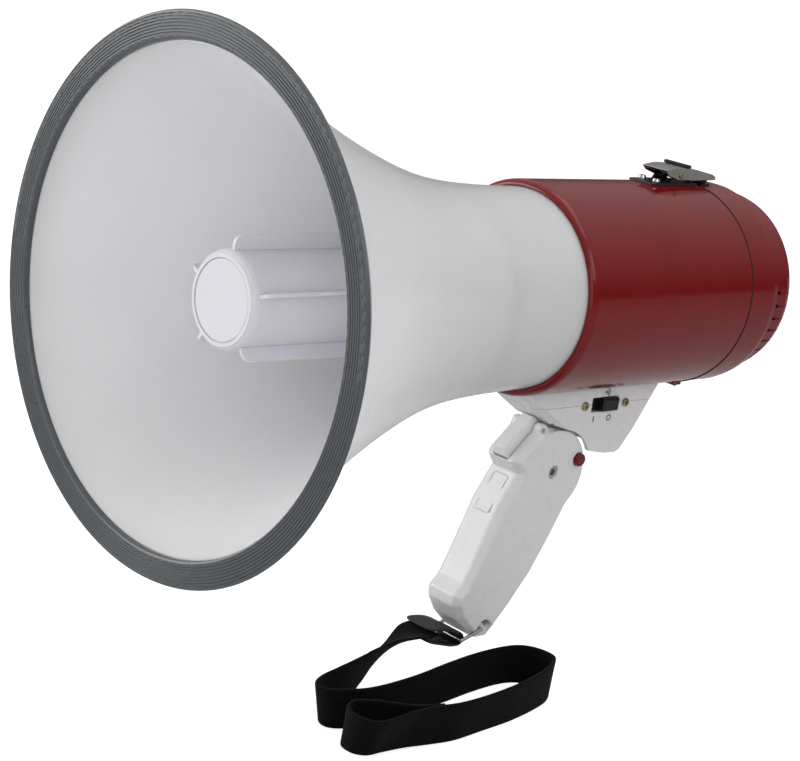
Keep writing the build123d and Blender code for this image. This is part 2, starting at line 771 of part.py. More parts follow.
with BuildPart() as latch_lever:
    with BuildSketch(side_plane(LATCH_HALF)):
        with BuildLine():
            Polyline(*LEVER_OUTLINE, close=True)
        make_face()
    extrude(amount=2 * LATCH_HALF)
    # hollow under the lever, so that it is a folded sheet with two cheeks
    with BuildSketch(side_plane(LATCH_HALF - 1.1)):
        with BuildLine():
            Polyline(
                (-64.0, TOP_Z + 5.6),
                (-76.0, TOP_Z + 7.5),
                (-87.0, TOP_Z + 7.2),
                (-97.0, TOP_Z + 5.8),
                (-105.6, TOP_Z + 4.2),
                (-106.6, TOP_Z + 1.0),
                (-64.0, TOP_Z + 1.0),
                close=True,
            )
        make_face()
    extrude(amount=2 * (LATCH_HALF - 1.1), mode=Mode.SUBTRACT)
    with BuildSketch(side_plane(10)):
        with Locations((AXLE_X, AXLE_Z)):
            Circle(AXLE_R + 0.04)
    extrude(amount=20, mode=Mode.SUBTRACT)
latch_lever.part.label = "latch_lever"
export_step(latch_lever.part, "parts/latch_lever.step")

with BuildPart() as latch_ridge:
    # rubber bead across the lever, for the thumb
    with BuildSketch(side_plane(LATCH_HALF + 0.2)):
        with Locations((-85.0, TOP_Z + 9.3)):
            RectangleRounded(2.4, 1.5, 0.5)
    extrude(amount=2 * (LATCH_HALF + 0.2))
latch_ridge.part.label = "latch_ridge"
export_step(latch_ridge.part, "parts/latch_ridge.step")

with BuildPart() as latch_spring:
    # torsion spring round the axle, between the ears
    for i in range(5):
        with BuildSketch(Plane.XY.offset(AXLE_Z)):
            with Locations((AXLE_X + AXLE_R + 0.45, -2.4 + 1.2 * i)):
                Circle(0.3)
        revolve(axis=Axis((AXLE_X, 0, AXLE_Z), (0, 1, 0)))
latch_spring.part.label = "latch_spring"
export_step(latch_spring.part, "parts/latch_spring.step")

with BuildPart() as latch_keeper:
    # low steel plate on the cap that the lever's lip closes over
    top_shell(-99.0, 7.0, 6.0, 0.7)
    with BuildSketch(side_plane(5.0)):
        with BuildLine():
            Polyline(
                (-102.5, TOP_Z + 0.6),
                (-102.9, TOP_Z + 2.3),
                (-104.2, TOP_Z + 2.6),
                (-104.6, TOP_Z + 1.9),
                (-103.8, TOP_Z + 0.6),
                close=True,
            )
        make_face()
    extrude(amount=10.0)
latch_keeper.part.label = "latch_keeper"
export_step(latch_keeper.part, "parts/latch_keeper.step")

# ------------------------------------------------------- bracket and the switch
PARTING_Z = 73.0
SWITCH_X = -46.0
SWITCH_Z = 72.8
SWITCH_SCREW_SPACING = 30.2
BRACKET_WALL = 2.2
CUT_R = HEAD_R + 0.8

BRACKET_OUTLINE = [
    (SADDLE_FRONT_X, AXIS_Z - 40),
    (SADDLE_FRONT_X, 80.9),
    (-10.5, 64.6),
    (-24.5, 60.8),
    (-33.5, 56.0),
    (-38.6, 49.4),
    (-52.0, 47.0),
    (-60.5, 46.8),
    (-68.5, 50.4),
    (-74.0, 57.6),
    (SADDLE_BACK_X, 81.4),
    (SADDLE_BACK_X, AXIS_Z - 40),
]


def bracket_body(half, outline):
    """Solid of the bracket's side outline, as wide as given."""
    with BuildSketch(side_plane(half)) as side_view:
        with BuildLine():
            Polyline(*outline, close=True)
        make_face()
    extrude(side_view.sketch, amount=2 * half)


with BuildPart() as bracket_blank:
    bracket_body(BRACKET_HALF, BRACKET_OUTLINE)
    front_edges = bracket_blank.edges().filter_by(
        lambda e: abs(abs(e.center().Y) - BRACKET_HALF) < 0.01 and e.center().Z < 88
    )
    sloped = front_edges.filter_by(lambda e: e.center().X > -9 and e.center().X < SADDLE_FRONT_X - 0.5)
    rear = front_edges.filter_by(lambda e: e.center().X < -66 and e.center().X > SADDLE_BACK_X + 0.5)
    chamfer(sloped, 3.2)
    chamfer(rear, 2.6)
    # hollow between the two cheeks, open below for the folding grip
    with BuildSketch(side_plane(BRACKET_HALF - BRACKET_WALL)):
        with BuildLine():
            Polyline(
                (SADDLE_FRONT_X - 8.0, AXIS_Z - 38),
                (SADDLE_FRONT_X - 8.0, 79.6),
                (-11.0, 67.9),
                (-16.0, 40.0),
                (-52.0, 40.0),
                (-60.0, 46.0),
                (SADDLE_BACK_X + 5.5, 82.0),
                (SADDLE_BACK_X + 5.5, AXIS_Z - 38),
                close=True,
            )
        make_face()
    extrude(amount=2 * (BRACKET_HALF - BRACKET_WALL), mode=Mode.SUBTRACT)
    with BuildSketch(side_plane(20)):
        with Locations((PIVOT_X, PIVOT_Z)):
            Circle(CUT_R)
    extrude(amount=40, mode=Mode.SUBTRACT)
    # the barrel's own space
    with BuildSketch(SIDE):
        band(190, 330, 0, BARREL_R + 0.05)
    revolve(axis=HORN_AXIS, mode=Mode.SUBTRACT)
    # opening for the slide switch, and its screw holes, in the left cheek
    with BuildSketch(side_plane(20)):
        with Locations((SWITCH_X, SWITCH_Z)):
            Rectangle(19.4, 7.4)
        for side in (-1, 1):
            with Locations((SWITCH_X + side * SWITCH_SCREW_SPACING / 2, SWITCH_Z)):
                Circle(1.4)
    extrude(amount=15, mode=Mode.SUBTRACT)

with BuildPart() as bracket_saddle:
    add(bracket_blank.part)
    split(bisect_by=Plane.XY.offset(PARTING_Z + 0.1), keep=Keep.TOP)
    # web across the top, under the barrel, that the saddle screws pass through
    with BuildSketch(Plane.XY.offset(PARTING_Z + 2.6)):
        with Locations(*[(x, 0) for x in SADDLE_SCREW_XS]):
            Rectangle(12, 2 * (BRACKET_HALF - BRACKET_WALL) + 0.4)
    extrude(amount=2.4)
    with BuildSketch(Plane.XY.offset(PARTING_Z - 4)):
        with Locations(*[(x, 0) for x in SADDLE_SCREW_XS]):
            Circle(1.9)
    extrude(amount=20, mode=Mode.SUBTRACT)
bracket_saddle.part.label = "bracket_saddle"
export_step(bracket_saddle.part, "parts/bracket_saddle.step")

with BuildPart() as bracket_housing:
    add(bracket_blank.part)
    split(bisect_by=Plane.XY.offset(PARTING_Z), keep=Keep.BOTTOM)
    # pivot lug that the grip folds about, hung from a web between the cheeks
    with BuildSketch(side_plane(LUG_HALF)):
        with BuildLine():
            Polyline(
                (-14.0, 71.5),
                (-14.0, 60.0),
                (-12.6, PIVOT_Z),
                (-27.4, PIVOT_Z),
                (-27.4, 62.0),
                (-30.0, 71.5),
                close=True,
            )
        make_face()
        with Locations((PIVOT_X, PIVOT_Z)):
            Circle(7.4)
    extrude(amount=2 * LUG_HALF)
    with BuildSketch(Plane.XY.offset(71.5)):
        with Locations((-21.0, 0)):
            Rectangle(15, 2 * (BRACKET_HALF - BRACKET_WALL) + 0.4)
    extrude(amount=-2.4)
    with BuildSketch(side_plane(20)):
        with Locations((PIVOT_X, PIVOT_Z)):
            Circle(3.55)
    extrude(amount=40, mode=Mode.SUBTRACT)
bracket_housing.part.label = "bracket_housing"
export_step(bracket_housing.part, "parts/bracket_housing.step")

with BuildPart() as saddle_screws:
    for x in SADDLE_SCREW_XS:
        with BuildSketch(Plane.XY.offset(PARTING_Z + 2.6)):
            with Locations((x, 0)):
                Circle(3.2)
        extrude(amount=-2.0)
        with BuildSketch(Plane.XY.offset(PARTING_Z + 2.6)):
            with Locations((x, 0)):
                Circle(1.75)
        extrude(amount=6.3)
saddle_screws.part.label = "saddle_screws"
export_step(saddle_screws.part, "parts/saddle_screws.step")

SWITCH_FACE_Y = BRACKET_HALF
with BuildPart() as slide_switch:
    # switch body behind the cheek, with its flange and the shallow white well
    with BuildSketch(side_plane(SWITCH_FACE_Y - BRACKET_WALL - 0.1)):
        with Locations((SWITCH_X, SWITCH_Z)):
            Rectangle(34.4, 9.0)
    extrude(amount=0.8)
    with BuildSketch(side_plane(SWITCH_FACE_Y - BRACKET_WALL - 0.9)):
        with Locations((SWITCH_X, SWITCH_Z)):
            Rectangle(22.0, 8.0)
    extrude(amount=6.5)
    with BuildSketch(side_plane(20)):
        for side in (-1, 1):
            with Locations((SWITCH_X + side * SWITCH_SCREW_SPACING / 2, SWITCH_Z)):
                Circle(1.2)
    extrude(amount=12, mode=Mode.SUBTRACT)
slide_switch.part.label = "slide_switch"
export_step(slide_switch.part, "parts/slide_switch.step")

with BuildPart() as switch_knob:
    with BuildSketch(side_plane(SWITCH_FACE_Y + 2.4)):
        with Locations((SWITCH_X - 2.6, SWITCH_Z)):
            Rectangle(11.6, 6.6)
    extrude(amount=4.4)
    chamfer(switch_knob.faces().sort_by(Axis.Y)[-1].edges(), 0.7)
switch_knob.part.label = "switch_knob"
export_step(switch_knob.part, "parts/switch_knob.step")

with BuildPart() as switch_screws:
    for side in (-1, 1):
        x = SWITCH_X + side * SWITCH_SCREW_SPACING / 2
        with BuildSketch(side_plane(SWITCH_FACE_Y + 1.3)):
            with Locations((x, SWITCH_Z)):
                Circle(2.2)
        extrude(amount=1.3)
        with BuildSketch(side_plane(SWITCH_FACE_Y + 0.2)):
            with Locations((x, SWITCH_Z)):
                Circle(1.15)
        extrude(amount=7.0)
    fillet(
        switch_screws.edges().filter_by(GeomType.CIRCLE).filter_by(
            lambda e: e.center().Y > SWITCH_FACE_Y + 1.2
        ),
        0.7,
    )
    with BuildSketch(side_plane(SWITCH_FACE_Y + 2.0)):
        for side in (-1, 1):
            with Locations((SWITCH_X + side * SWITCH_SCREW_SPACING / 2, SWITCH_Z)):
                Rectangle(2.6, 0.6)
                Rectangle(0.6, 2.6)
    extrude(amount=1.4, mode=Mode.SUBTRACT)
switch_screws.part.label = "switch_screws"
export_step(switch_screws.part, "parts/switch_screws.step")

# ----------------------------------------------------------------- pistol grip
# side outline of the grip below its round head, from the lip round to the back
GRIP_OUTLINE = [
    (-20.0, 60.4),
    (-12.0, 62.4),
    (-9.4, 63.4),
    (5.4, 49.6),
    (8.2, 45.9),
    (5.4, 42.2),
    (3.0, 39.6),
    (12.4, 24.0),
    (23.6, -4.1),
    (27.8, -13.3),
    (33.2, -19.0),
    (33.2, -24.2),
    (28.0, -32.4),
    (18.4, -41.0),
    (13.0, -43.6),
    (5.6, -43.6),
    (1.4, -37.4),
    (-6.0, -29.0),
    (-17.4, -14.0),
    (-26.6, 2.4),
    (-39.4, 28.0),
    (-41.4, 38.0),
]
TRIGGER_PIN_X = -9.0
TRIGGER_PIN_Z = 60.6
TRIGGER_PIN_R = 1.2
EAR_R = 3.2
EAR_HALF = 9.6
BAIL_X = 10.7
BAIL_Z = -39.0
BAIL_WIRE_R = 0.9
TONGUE_HALF = 8.4
BUTTON_X = -36.5
BUTTON_Z = 44.4
BUTTON_R = 3.2
PIVOT_SCREW_R = 3.3
SHELL_SCREWS = [(10.0, 8.0), (17.0, -22.0)]


def sector(radius, start, end, steps=14):
    """Pie slice about the fold axis; angles in degrees from +X towards +Z."""
    points = [(PIVOT_X, PIVOT_Z)]
    for i in range(steps + 1):
        angle = math.radians(start + (end - start) * i / steps)
        points.append(
            (PIVOT_X + radius * math.cos(angle), PIVOT_Z + radius * math.sin(angle))
        )
    return points


with BuildPart() as grip_blank:
    for y, direction in ((GRIP_HALF - GRIP_EDGE, -1), (GRIP_EDGE - GRIP_HALF, 1)):
        with BuildSketch(side_plane(y)) as side_view:
            with BuildLine():
                Polyline(*GRIP_OUTLINE, close=True)
            make_face()
            with Locations((PIVOT_X, PIVOT_Z)):
                Circle(HEAD_R)
        extrude(amount=y)
        extrude(side_view.sketch, amount=direction * GRIP_EDGE, taper=42)
    # the round head keeps its full width, except along the front
    with BuildSketch(side_plane(GRIP_HALF)):
        with Locations((PIVOT_X, PIVOT_Z)):
            Circle(HEAD_R)
        with BuildLine():
            Polyline((-15, 64), (-1.6, 40), (8, 24), (30, 24), (30, 64), close=True)
        make_face(mode=Mode.SUBTRACT)
    extrude(amount=2 * GRIP_HALF)

# hollow inside the two shells
with BuildPart() as grip_hollow:
    with BuildSketch(side_plane(GRIP_HALF - SHELL_WALL)):
        with BuildLine():
            Polyline(*GRIP_OUTLINE, close=True)
        make_face()
        with Locations((PIVOT_X, PIVOT_Z)):
            Circle(HEAD_R)
        offset(amount=-SHELL_WALL - 1.0, kind=Kind.INTERSECTION, mode=Mode.REPLACE)
    extrude(amount=2 * (GRIP_HALF - SHELL_WALL))

TRIGGER_SPACE = [
    (-5.6, 69.0),
    (14.0, 56.0),
    (14.0, 49.0),
    (8.2, 46.4),
    (3.6, 42.2),
    (-5.8, 36.6),
    (-12.0, 40.0),
    (-12.0, 52.0),
    (-16.0, 56.0),
    (-16.0, 69.0),
]

with BuildPart() as grip_body:
    add(grip_blank.part)
    add(grip_hollow.part, mode=Mode.SUBTRACT)
    # ears for the trigger pin, and the ring round the fold screw
    with BuildSketch(side_plane(EAR_HALF)):
        with Locations((TRIGGER_PIN_X, TRIGGER_PIN_Z)):
            Circle(EAR_R)
        with BuildLine():
            Polyline(
                (TRIGGER_PIN_X - 2.6, TRIGGER_PIN_Z + 1.8),
                (TRIGGER_PIN_X + 3.0, TRIGGER_PIN_Z - 1.0),
                (-2.0, 50.0),
                (-11.6, 50.0),
                close=True,
            )
        make_face()
        with Locations((PIVOT_X, PIVOT_Z)):
            Circle(7.6)
        with Locations((BAIL_X, BAIL_Z)):
            Circle(3.4)
        with Locations(*SHELL_SCREWS):
            Circle(3.2)
    extrude(amount=2 * EAR_HALF)
    # slot for the bracket's lug, which sweeps to the rear as the grip folds
    with BuildSketch(side_plane(LUG_HALF + 0.4)):
        with BuildLine():
            Polyline(*sector(34.0, 62.0, 226.0), close=True)
        make_face()
        with Locations((PIVOT_X, PIVOT_Z)):
            Circle(8.0)
    extrude(amount=2 * (LUG_HALF + 0.4), mode=Mode.SUBTRACT)
    # the trigger's slot
    with BuildSketch(side_plane(TRIGGER_HALF + 0.4)):
        with BuildLine():
            Polyline(*TRIGGER_SPACE, close=True)
        make_face()
    extrude(amount=2 * (TRIGGER_HALF + 0.4), mode=Mode.SUBTRACT)
    # narrow tongue for the strap's wire
    for y in (TONGUE_HALF, -TONGUE_HALF - 6):
        with BuildSketch(side_plane(y + 6)):
            with Locations((BAIL_X, BAIL_Z)):
                Circle(5.4)
            with Locations((BAIL_X + 5.0, BAIL_Z - 5.4)):
                Rectangle(10.0, 10.8)
        extrude(amount=6, mode=Mode.SUBTRACT)
    # inset panel in the front of the grip
    with BuildSketch(Plane(origin=(7.7, 0, 31.8), x_dir=(0, 1, 0), z_dir=(0.858, 0, 0.514))):
        with Locations((0, -4.0)):
            Rectangle(8.8, 20.4)
    extrude(amount=-1.2, mode=Mode.SUBTRACT)
    with BuildSketch(side_plane(20)):
        with Locations((PIVOT_X, PIVOT_Z)):
            Circle(PIVOT_SCREW_R + 0.04)
        with Locations((BAIL_X, BAIL_Z)):
            Circle(BAIL_WIRE_R + 0.05)
        with Locations((TRIGGER_PIN_X, TRIGGER_PIN_Z)):
            Circle(TRIGGER_PIN_R)
    extrude(amount=40, mode=Mode.SUBTRACT)
    with BuildSketch(side_plane(7.2)):
        with Locations(*SHELL_SCREWS):
            Circle(1.3)
    extrude(amount=20, mode=Mode.SUBTRACT)
    with BuildSketch(side_plane(20)):
        with Locations((BUTTON_X, BUTTON_Z)):
            Circle(BUTTON_R + 0.06)
    extrude(amount=15, mode=Mode.SUBTRACT)
    with BuildSketch(side_plane(-GRIP_HALF + 1.65)):
        with Locations(*SHELL_SCREWS):
            Circle(2.55)
    extrude(amount=5, mode=Mode.SUBTRACT)

with BuildPart() as grip_left_shell:
    add(grip_body.part)
    split(bisect_by=Plane.XZ.offset(-0.15), keep=Keep.BOTTOM)
grip_left_shell.part.label = "grip_left_shell"
export_step(grip_left_shell.part, "parts/grip_left_shell.step")

with BuildPart() as grip_right_shell:
    add(grip_body.part)
    split(bisect_by=Plane.XZ.offset(-0.15), keep=Keep.TOP)
grip_right_shell.part.label = "grip_right_shell"
export_step(grip_right_shell.part, "parts/grip_right_shell.step")

with BuildPart() as grip_panel:
    with BuildSketch(Plane(origin=(7.7, 0, 31.8), x_dir=(0, 1, 0), z_dir=(0.858, 0, 0.514))):
        with Locations((0, -4.0)):
            Rectangle(8.2, 19.8)
    extrude(amount=-1.1)
grip_panel.part.label = "grip_panel"
export_step(grip_panel.part, "parts/grip_panel.step")

with BuildPart() as grip_screws:
    # two shell screws, put in from the right
    for x, z in SHELL_SCREWS:
        with BuildSketch(side_plane(-GRIP_HALF + 1.6)):
            with Locations((x, z)):
                Circle(2.4)
        extrude(amount=1.3)
        with BuildSketch(side_plane(7.0)):
            with Locations((x, z)):
                Circle(1.25)
        extrude(amount=GRIP_HALF + 5.4)
grip_screws.part.label = "grip_screws"
export_step(grip_screws.part, "parts/grip_screws.step")

with BuildPart() as pivot_screw:
    # fold screw through both shells and the lug, with its recessed socket
    with BuildSketch(side_plane(GRIP_HALF - 1.2)):
        with Locations((PIVOT_X, PIVOT_Z)):
            Circle(PIVOT_SCREW_R)
    extrude(amount=2 * GRIP_HALF - 2.4)
    with BuildSketch(side_plane(GRIP_HALF - 1.2)):
        with Locations((PIVOT_X, PIVOT_Z)):
            RegularPolygon(1.9, 6)
    extrude(amount=2.4, mode=Mode.SUBTRACT)
pivot_screw.part.label = "pivot_screw"
export_step(pivot_screw.part, "parts/pivot_screw.step")

# ------------------------------------------------ trigger, switch, lock button
with BuildPart() as trigger:
    with BuildSketch(side_plane(TRIGGER_HALF)):
        with BuildLine():
            Polyline(
                (-6.9, 66.2),
                (7.6, 53.0),
                (9.2, 51.0),
                (8.4, 47.5),
                (3.4, 43.0),
                (-3.0, 39.8),
                (-6.4, 43.4),
                (-5.0, 50.0),
                (-11.6, 57.4),
                (-12.0, 62.0),
                close=True,
            )
        make_face()
    extrude(amount=2 * TRIGGER_HALF)
    front_edges = trigger.edges().filter_by(
        lambda e: abs(abs(e.center().Y) - TRIGGER_HALF) < 0.01
        and e.center().X > -3 and e.center().Z > 47.6
    )
    chamfer(front_edges, 1.0)
    with BuildSketch(side_plane(20)):
        with Locations((TRIGGER_PIN_X, TRIGGER_PIN_Z)):
            Circle(TRIGGER_PIN_R + 0.05)
    extrude(amount=40, mode=Mode.SUBTRACT)
trigger.part.label = "trigger"
export_step(trigger.part, "parts/trigger.step")

with BuildPart() as trigger_pin:
    with BuildSketch(side_plane(EAR_HALF)):
        with Locations((TRIGGER_PIN_X, TRIGGER_PIN_Z)):
            Circle(TRIGGER_PIN_R)
    extrude(amount=2 * EAR_HALF)
trigger_pin.part.label = "trigger_pin"
export_step(trigger_pin.part, "parts/trigger_pin.step")

with BuildPart() as talk_switch:
    with BuildSketch(side_plane(3.4)):
        with Locations((-5.0, 27.5)):
            Rectangle(9.0, 12.0)
    extrude(amount=6.8)
    with BuildSketch(side_plane(1.5)):
        with Locations((-4.0, 35.4)):
            Rectangle(2.6, 4.0)
    extrude(amount=3.0)
talk_switch.part.label = "talk_switch"
export_step(talk_switch.part, "parts/talk_switch.step")

BUTTON_OUT_Y = GRIP_HALF + 2.2
with BuildPart() as lock_button:
    with BuildSketch(side_plane(BUTTON_OUT_Y)):
        with Locations((BUTTON_X, BUTTON_Z)):
            Circle(BUTTON_R)
    extrude(amount=4.6)
    fillet(lock_button.faces().sort_by(Axis.Y)[-1].edges(), 0.7)
lock_button.part.label = "lock_button"
export_step(lock_button.part, "parts/lock_button.step")

# --------------------------------------------------------- wire bail and strap
ROD_X = 23.6
ROD_Z = -42.9
BAIL_HALF = 9.6

with BuildPart() as bail_wire:
    with BuildLine():
        Polyline(
            (BAIL_X, TONGUE_HALF - 3.4, BAIL_Z),
            (BAIL_X, BAIL_HALF, BAIL_Z),
            (ROD_X, BAIL_HALF, ROD_Z),
            (ROD_X, -BAIL_HALF, ROD_Z),
            (BAIL_X, -BAIL_HALF, BAIL_Z),
            (BAIL_X, -TONGUE_HALF + 3.4, BAIL_Z),
        )
    with BuildSketch(Plane(origin=(BAIL_X, TONGUE_HALF - 3.4, BAIL_Z), z_dir=(0, 1, 0))):
        Circle(BAIL_WIRE_R)
    sweep(transition=Transition.ROUND)
bail_wire.part.label = "bail_wire"
export_step(bail_wire.part, "parts/bail_wire.step")

# the webbing, on edge: down the long way, back, and a short end folded under
STRAP_PATH = [
    (118.0, 25.4),
    (128.0, 27.0),
    (136.0, 31.0),
    (137.0, 38.0),
    (130.0, 43.6),
    (118.0, 47.0),
    (91.0, 45.4),
    (66.0, 41.5),
    (45.0, 38.5),
    (26.0, 37.6),
    (15.0, 40.0),
    (9.6, 47.0),
    (9.6, 55.4),
    (15.0, 61.2),
    (28.0, 66.4),
    (50.0, 71.2),
    (72.0, 73.4),
    (90.0, 75.2),
    (103.0, 73.8),
    (116.0, 72.4),
    (129.0, 73.0),
    (138.0, 72.0),
    (142.4, 65.0),
    (141.6, 56.0),
    (135.0, 52.4),
    (127.0, 56.0),
    (120.0, 62.4),
    (111.0, 68.6),
    (98.0, 71.8),
]


def twist_section(x, y, z, turn, heading):
    """Section of the webbing: turn 0 lies flat, turn 90 stands on edge."""
    forward = Vector(math.cos(math.radians(heading)), math.sin(math.radians(heading)), 0)
    across = Vector(-forward.Y, forward.X, 0)
    angle = math.radians(turn)
    width_dir = across * math.cos(angle) + Vector(0, 0, 1) * math.sin(angle)
    return Plane(origin=(x, y, z), x_dir=width_dir, z_dir=forward)


def ribbon_outline(path, steps=110):
    """Outline of the webbing's edge: the path moved half a thickness each way."""
    left = []
    right = []
    for i in range(steps + 1):
        point = path @ (i / steps)
        along = path % (i / steps)
        left.append((point.X - along.Y * WEBBING_THICK / 2, point.Y + along.X * WEBBING_THICK / 2))
        right.append((point.X + along.Y * WEBBING_THICK / 2, point.Y - along.X * WEBBING_THICK / 2))
    return left + right[::-1]


TWIST = [
    (47.0, 0.0, -38.0, 0.0, 0.0),
    (66.0, 4.2, -40.6, 38.0, 14.0),
    (88.0, 13.0, -43.0, 68.0, 19.0),
    (106.0, 20.6, -44.0, 84.0, 20.0),
]
strap_path = Spline(*STRAP_PATH)
path_start = strap_path @ 0
path_heading = math.degrees(math.atan2((strap_path % 0).Y, (strap_path % 0).X))
TWIST.append((path_start.X, path_start.Y, -44.0, 90.0, path_heading))

with BuildPart() as strap_webbing:
    with BuildSketch(Plane.XY.offset(SURFACE_Z)):
        with BuildLine():
            Polyline(*ribbon_outline(strap_path), close=True)
        make_face()
    extrude(amount=WEBBING_WIDTH)
    for section in TWIST:
        with BuildSketch(twist_section(*section)):
            Rectangle(WEBBING_WIDTH, WEBBING_THICK)
    loft(ruled=True)
strap_webbing.part.label = "strap_webbing"
export_step(strap_webbing.part, "parts/strap_webbing.step")

with BuildPart() as strap_tab:
    # tab wrapped round the wire and snapped shut over the end of the webbing
    with BuildSketch(side_plane(WEBBING_WIDTH / 2)):
        with BuildLine():
            Polyline(
                (46.6, -35.4),
                (28.0, -38.2),
                (28.0, -44.3),
                (46.6, -39.6),
                close=True,
            )
        make_face()
    extrude(amount=WEBBING_WIDTH)
    with BuildSketch(side_plane(BAIL_HALF - 1.6)):
        with BuildLine():
            Polyline(
                (28.2, -38.2),
                (23.8, -40.6),
                (21.4, -41.6),
                (20.9, -43.8),
                (23.4, -45.4),
                (28.2, -44.3),
                close=True,
            )
        make_face()
        with Locations((ROD_X, ROD_Z)):
            Circle(BAIL_WIRE_R + 0.05, mode=Mode.SUBTRACT)
    extrude(amount=2 * (BAIL_HALF - 1.6))
strap_tab.part.label = "strap_tab"
export_step(strap_tab.part, "parts/strap_tab.step")

with BuildPart() as tab_snap:
    with BuildSketch(Plane(origin=(36.0, 0, -36.95), x_dir=(1, 0, 0.15), z_dir=(-0.15, 0, 1))):
        Circle(5.0)
    extrude(amount=1.4, taper=20)
tab_snap.part.label = "tab_snap"
export_step(tab_snap.part, "parts/tab_snap.step")
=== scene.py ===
import json
import math

import bpy
import bmesh
from mathutils import Matrix, Vector


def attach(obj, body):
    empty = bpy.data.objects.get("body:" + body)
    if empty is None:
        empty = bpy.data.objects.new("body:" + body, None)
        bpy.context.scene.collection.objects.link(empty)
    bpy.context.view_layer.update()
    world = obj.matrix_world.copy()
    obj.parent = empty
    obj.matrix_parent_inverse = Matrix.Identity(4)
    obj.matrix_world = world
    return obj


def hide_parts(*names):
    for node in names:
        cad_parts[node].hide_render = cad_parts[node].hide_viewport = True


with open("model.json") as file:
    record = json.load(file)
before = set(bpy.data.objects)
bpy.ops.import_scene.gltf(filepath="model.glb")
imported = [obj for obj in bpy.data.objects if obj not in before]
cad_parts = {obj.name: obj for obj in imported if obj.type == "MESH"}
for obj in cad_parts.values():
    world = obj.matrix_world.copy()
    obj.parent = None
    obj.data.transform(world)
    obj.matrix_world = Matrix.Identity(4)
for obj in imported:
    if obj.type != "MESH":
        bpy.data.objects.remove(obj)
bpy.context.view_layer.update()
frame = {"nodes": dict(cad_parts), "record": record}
nodes = frame["nodes"]
record = frame["record"]
MM = 0.001
AXIS_Z = 130.0  # horn axis above the grip, mm


# ------------------------------------------------------------------ node helpers
class Shader:
    """A material with one Principled shader, and short calls for its textures."""

    def __init__(self, name):
        self.material = bpy.data.materials.new(name)
        self.material.use_nodes = True
        self.tree = self.material.node_tree
        self.bsdf = self.tree.nodes["Principled BSDF"]

    def node(self, kind, **values):
        n = self.tree.nodes.new(kind)
        for key, value in values.items():
            setattr(n, key, value)
        return n

    def link(self, a, b):
        self.tree.links.new(a, b)

    def put(self, socket, value):
        self.bsdf.inputs[socket].default_value = value

    def coords(self, stretch=(1, 1, 1), uv=False):
        source = self.node("ShaderNodeTexCoord")
        mapping = self.node("ShaderNodeMapping")
        mapping.inputs["Scale"].default_value = stretch
        self.link(source.outputs["UV" if uv else "Object"], mapping.inputs["Vector"])
        return mapping.outputs["Vector"]

    def noise(self, scale, detail=3.0, rough=0.55, stretch=(1, 1, 1), uv=False):
        n = self.node("ShaderNodeTexNoise")
        n.inputs["Scale"].default_value = scale
        n.inputs["Detail"].default_value = detail
        n.inputs["Roughness"].default_value = rough
        self.link(self.coords(stretch, uv), n.inputs["Vector"])
        return n.outputs["Fac"]

    def spread(self, fac, low, high, start=0.3, end=0.7):
        m = self.node("ShaderNodeMapRange")
        m.inputs["From Min"].default_value = start
        m.inputs["From Max"].default_value = end
        m.inputs["To Min"].default_value = low
        m.inputs["To Max"].default_value = high
        self.link(fac, m.inputs["Value"])
        return m.outputs["Result"]

    def blend(self, fac, first, second):
        m = self.node("ShaderNodeMix", data_type="RGBA")
        self.link(fac, m.inputs["Factor"])
        for socket, value in ((6, first), (7, second)):
            if isinstance(value, tuple):
                m.inputs[socket].default_value = (*value, 1.0)
            else:
                self.link(value, m.inputs[socket])
        return m.outputs[2]

    def bump(self, height, distance, strength=1.0, after=None):
        b = self.node("ShaderNodeBump")
        b.inputs["Strength"].default_value = strength
        b.inputs["Distance"].default_value = distance
        self.link(height, b.inputs["Height"])
        if after is not None:
            self.link(after, b.inputs["Normal"])
        self.link(b.outputs["Normal"], self.bsdf.inputs["Normal"])
        return b.outputs["Normal"]

    def colour(self, output):
        self.link(output, self.bsdf.inputs["Base Color"])

    def roughness(self, output):
        self.link(output, self.bsdf.inputs["Roughness"])


def plastic(name, colour, rough, grain=700.0, depth=0.00004, coat=0.0, mottle=0.06, ior=1.46):
    """Moulded plastic: faint mottling, uneven gloss, fine orange peel and dust."""
    s = Shader(name)
    deep = tuple(c * (1 - mottle) for c in colour)
    light = tuple(min(1.0, c * (1 + mottle) + 0.002) for c in colour)
    s.colour(s.blend(s.spread(s.noise(45, 4), 0, 1), deep, light))
    s.roughness(s.spread(s.noise(120, 5), rough * 0.93, rough * 1.08))
    swell = s.bump(s.noise(60, 2), 0.00008, 0.12)
    s.bump(s.noise(grain, 3), depth, 0.5, swell)
    s.put("IOR", ior)
    s.put("Coat Weight", coat)
    s.put("Coat Roughness", 0.05)
    return s.material


def rubber(name, colour, rough):
    """Soft moulded rubber: fine tooth, slight bloom."""
    s = Shader(name)
    bloom = tuple(c * 1.10 + 0.001 for c in colour)
    s.colour(s.blend(s.spread(s.noise(90, 6), 0, 1, 0.35, 0.75), colour, bloom))
    s.roughness(s.spread(s.noise(260, 4), rough * 0.88, rough * 1.12))
    s.bump(s.noise(1500, 2), 0.00003, 0.12)
    s.put("IOR", 1.5)
    return s.material


def metal(name, colour, rough, brushed=(1, 1, 1), tarnish=0.12, stain=None):
    """Plated or bare metal, with brushing along one way and slight tarnish."""
    s = Shader(name)
    worn = stain or tuple(c * (1 - tarnish) for c in colour)
    s.colour(s.blend(s.spread(s.noise(140, 5), 0, 1, 0.42, 0.7), colour, worn))
    lines = s.noise(900, 2, 0.5, brushed)
    s.roughness(s.spread(lines, rough * 0.75, rough * 1.35))
    s.bump(lines, 0.00002, 0.5)
    s.put("Metallic", 1.0)
    return s.material


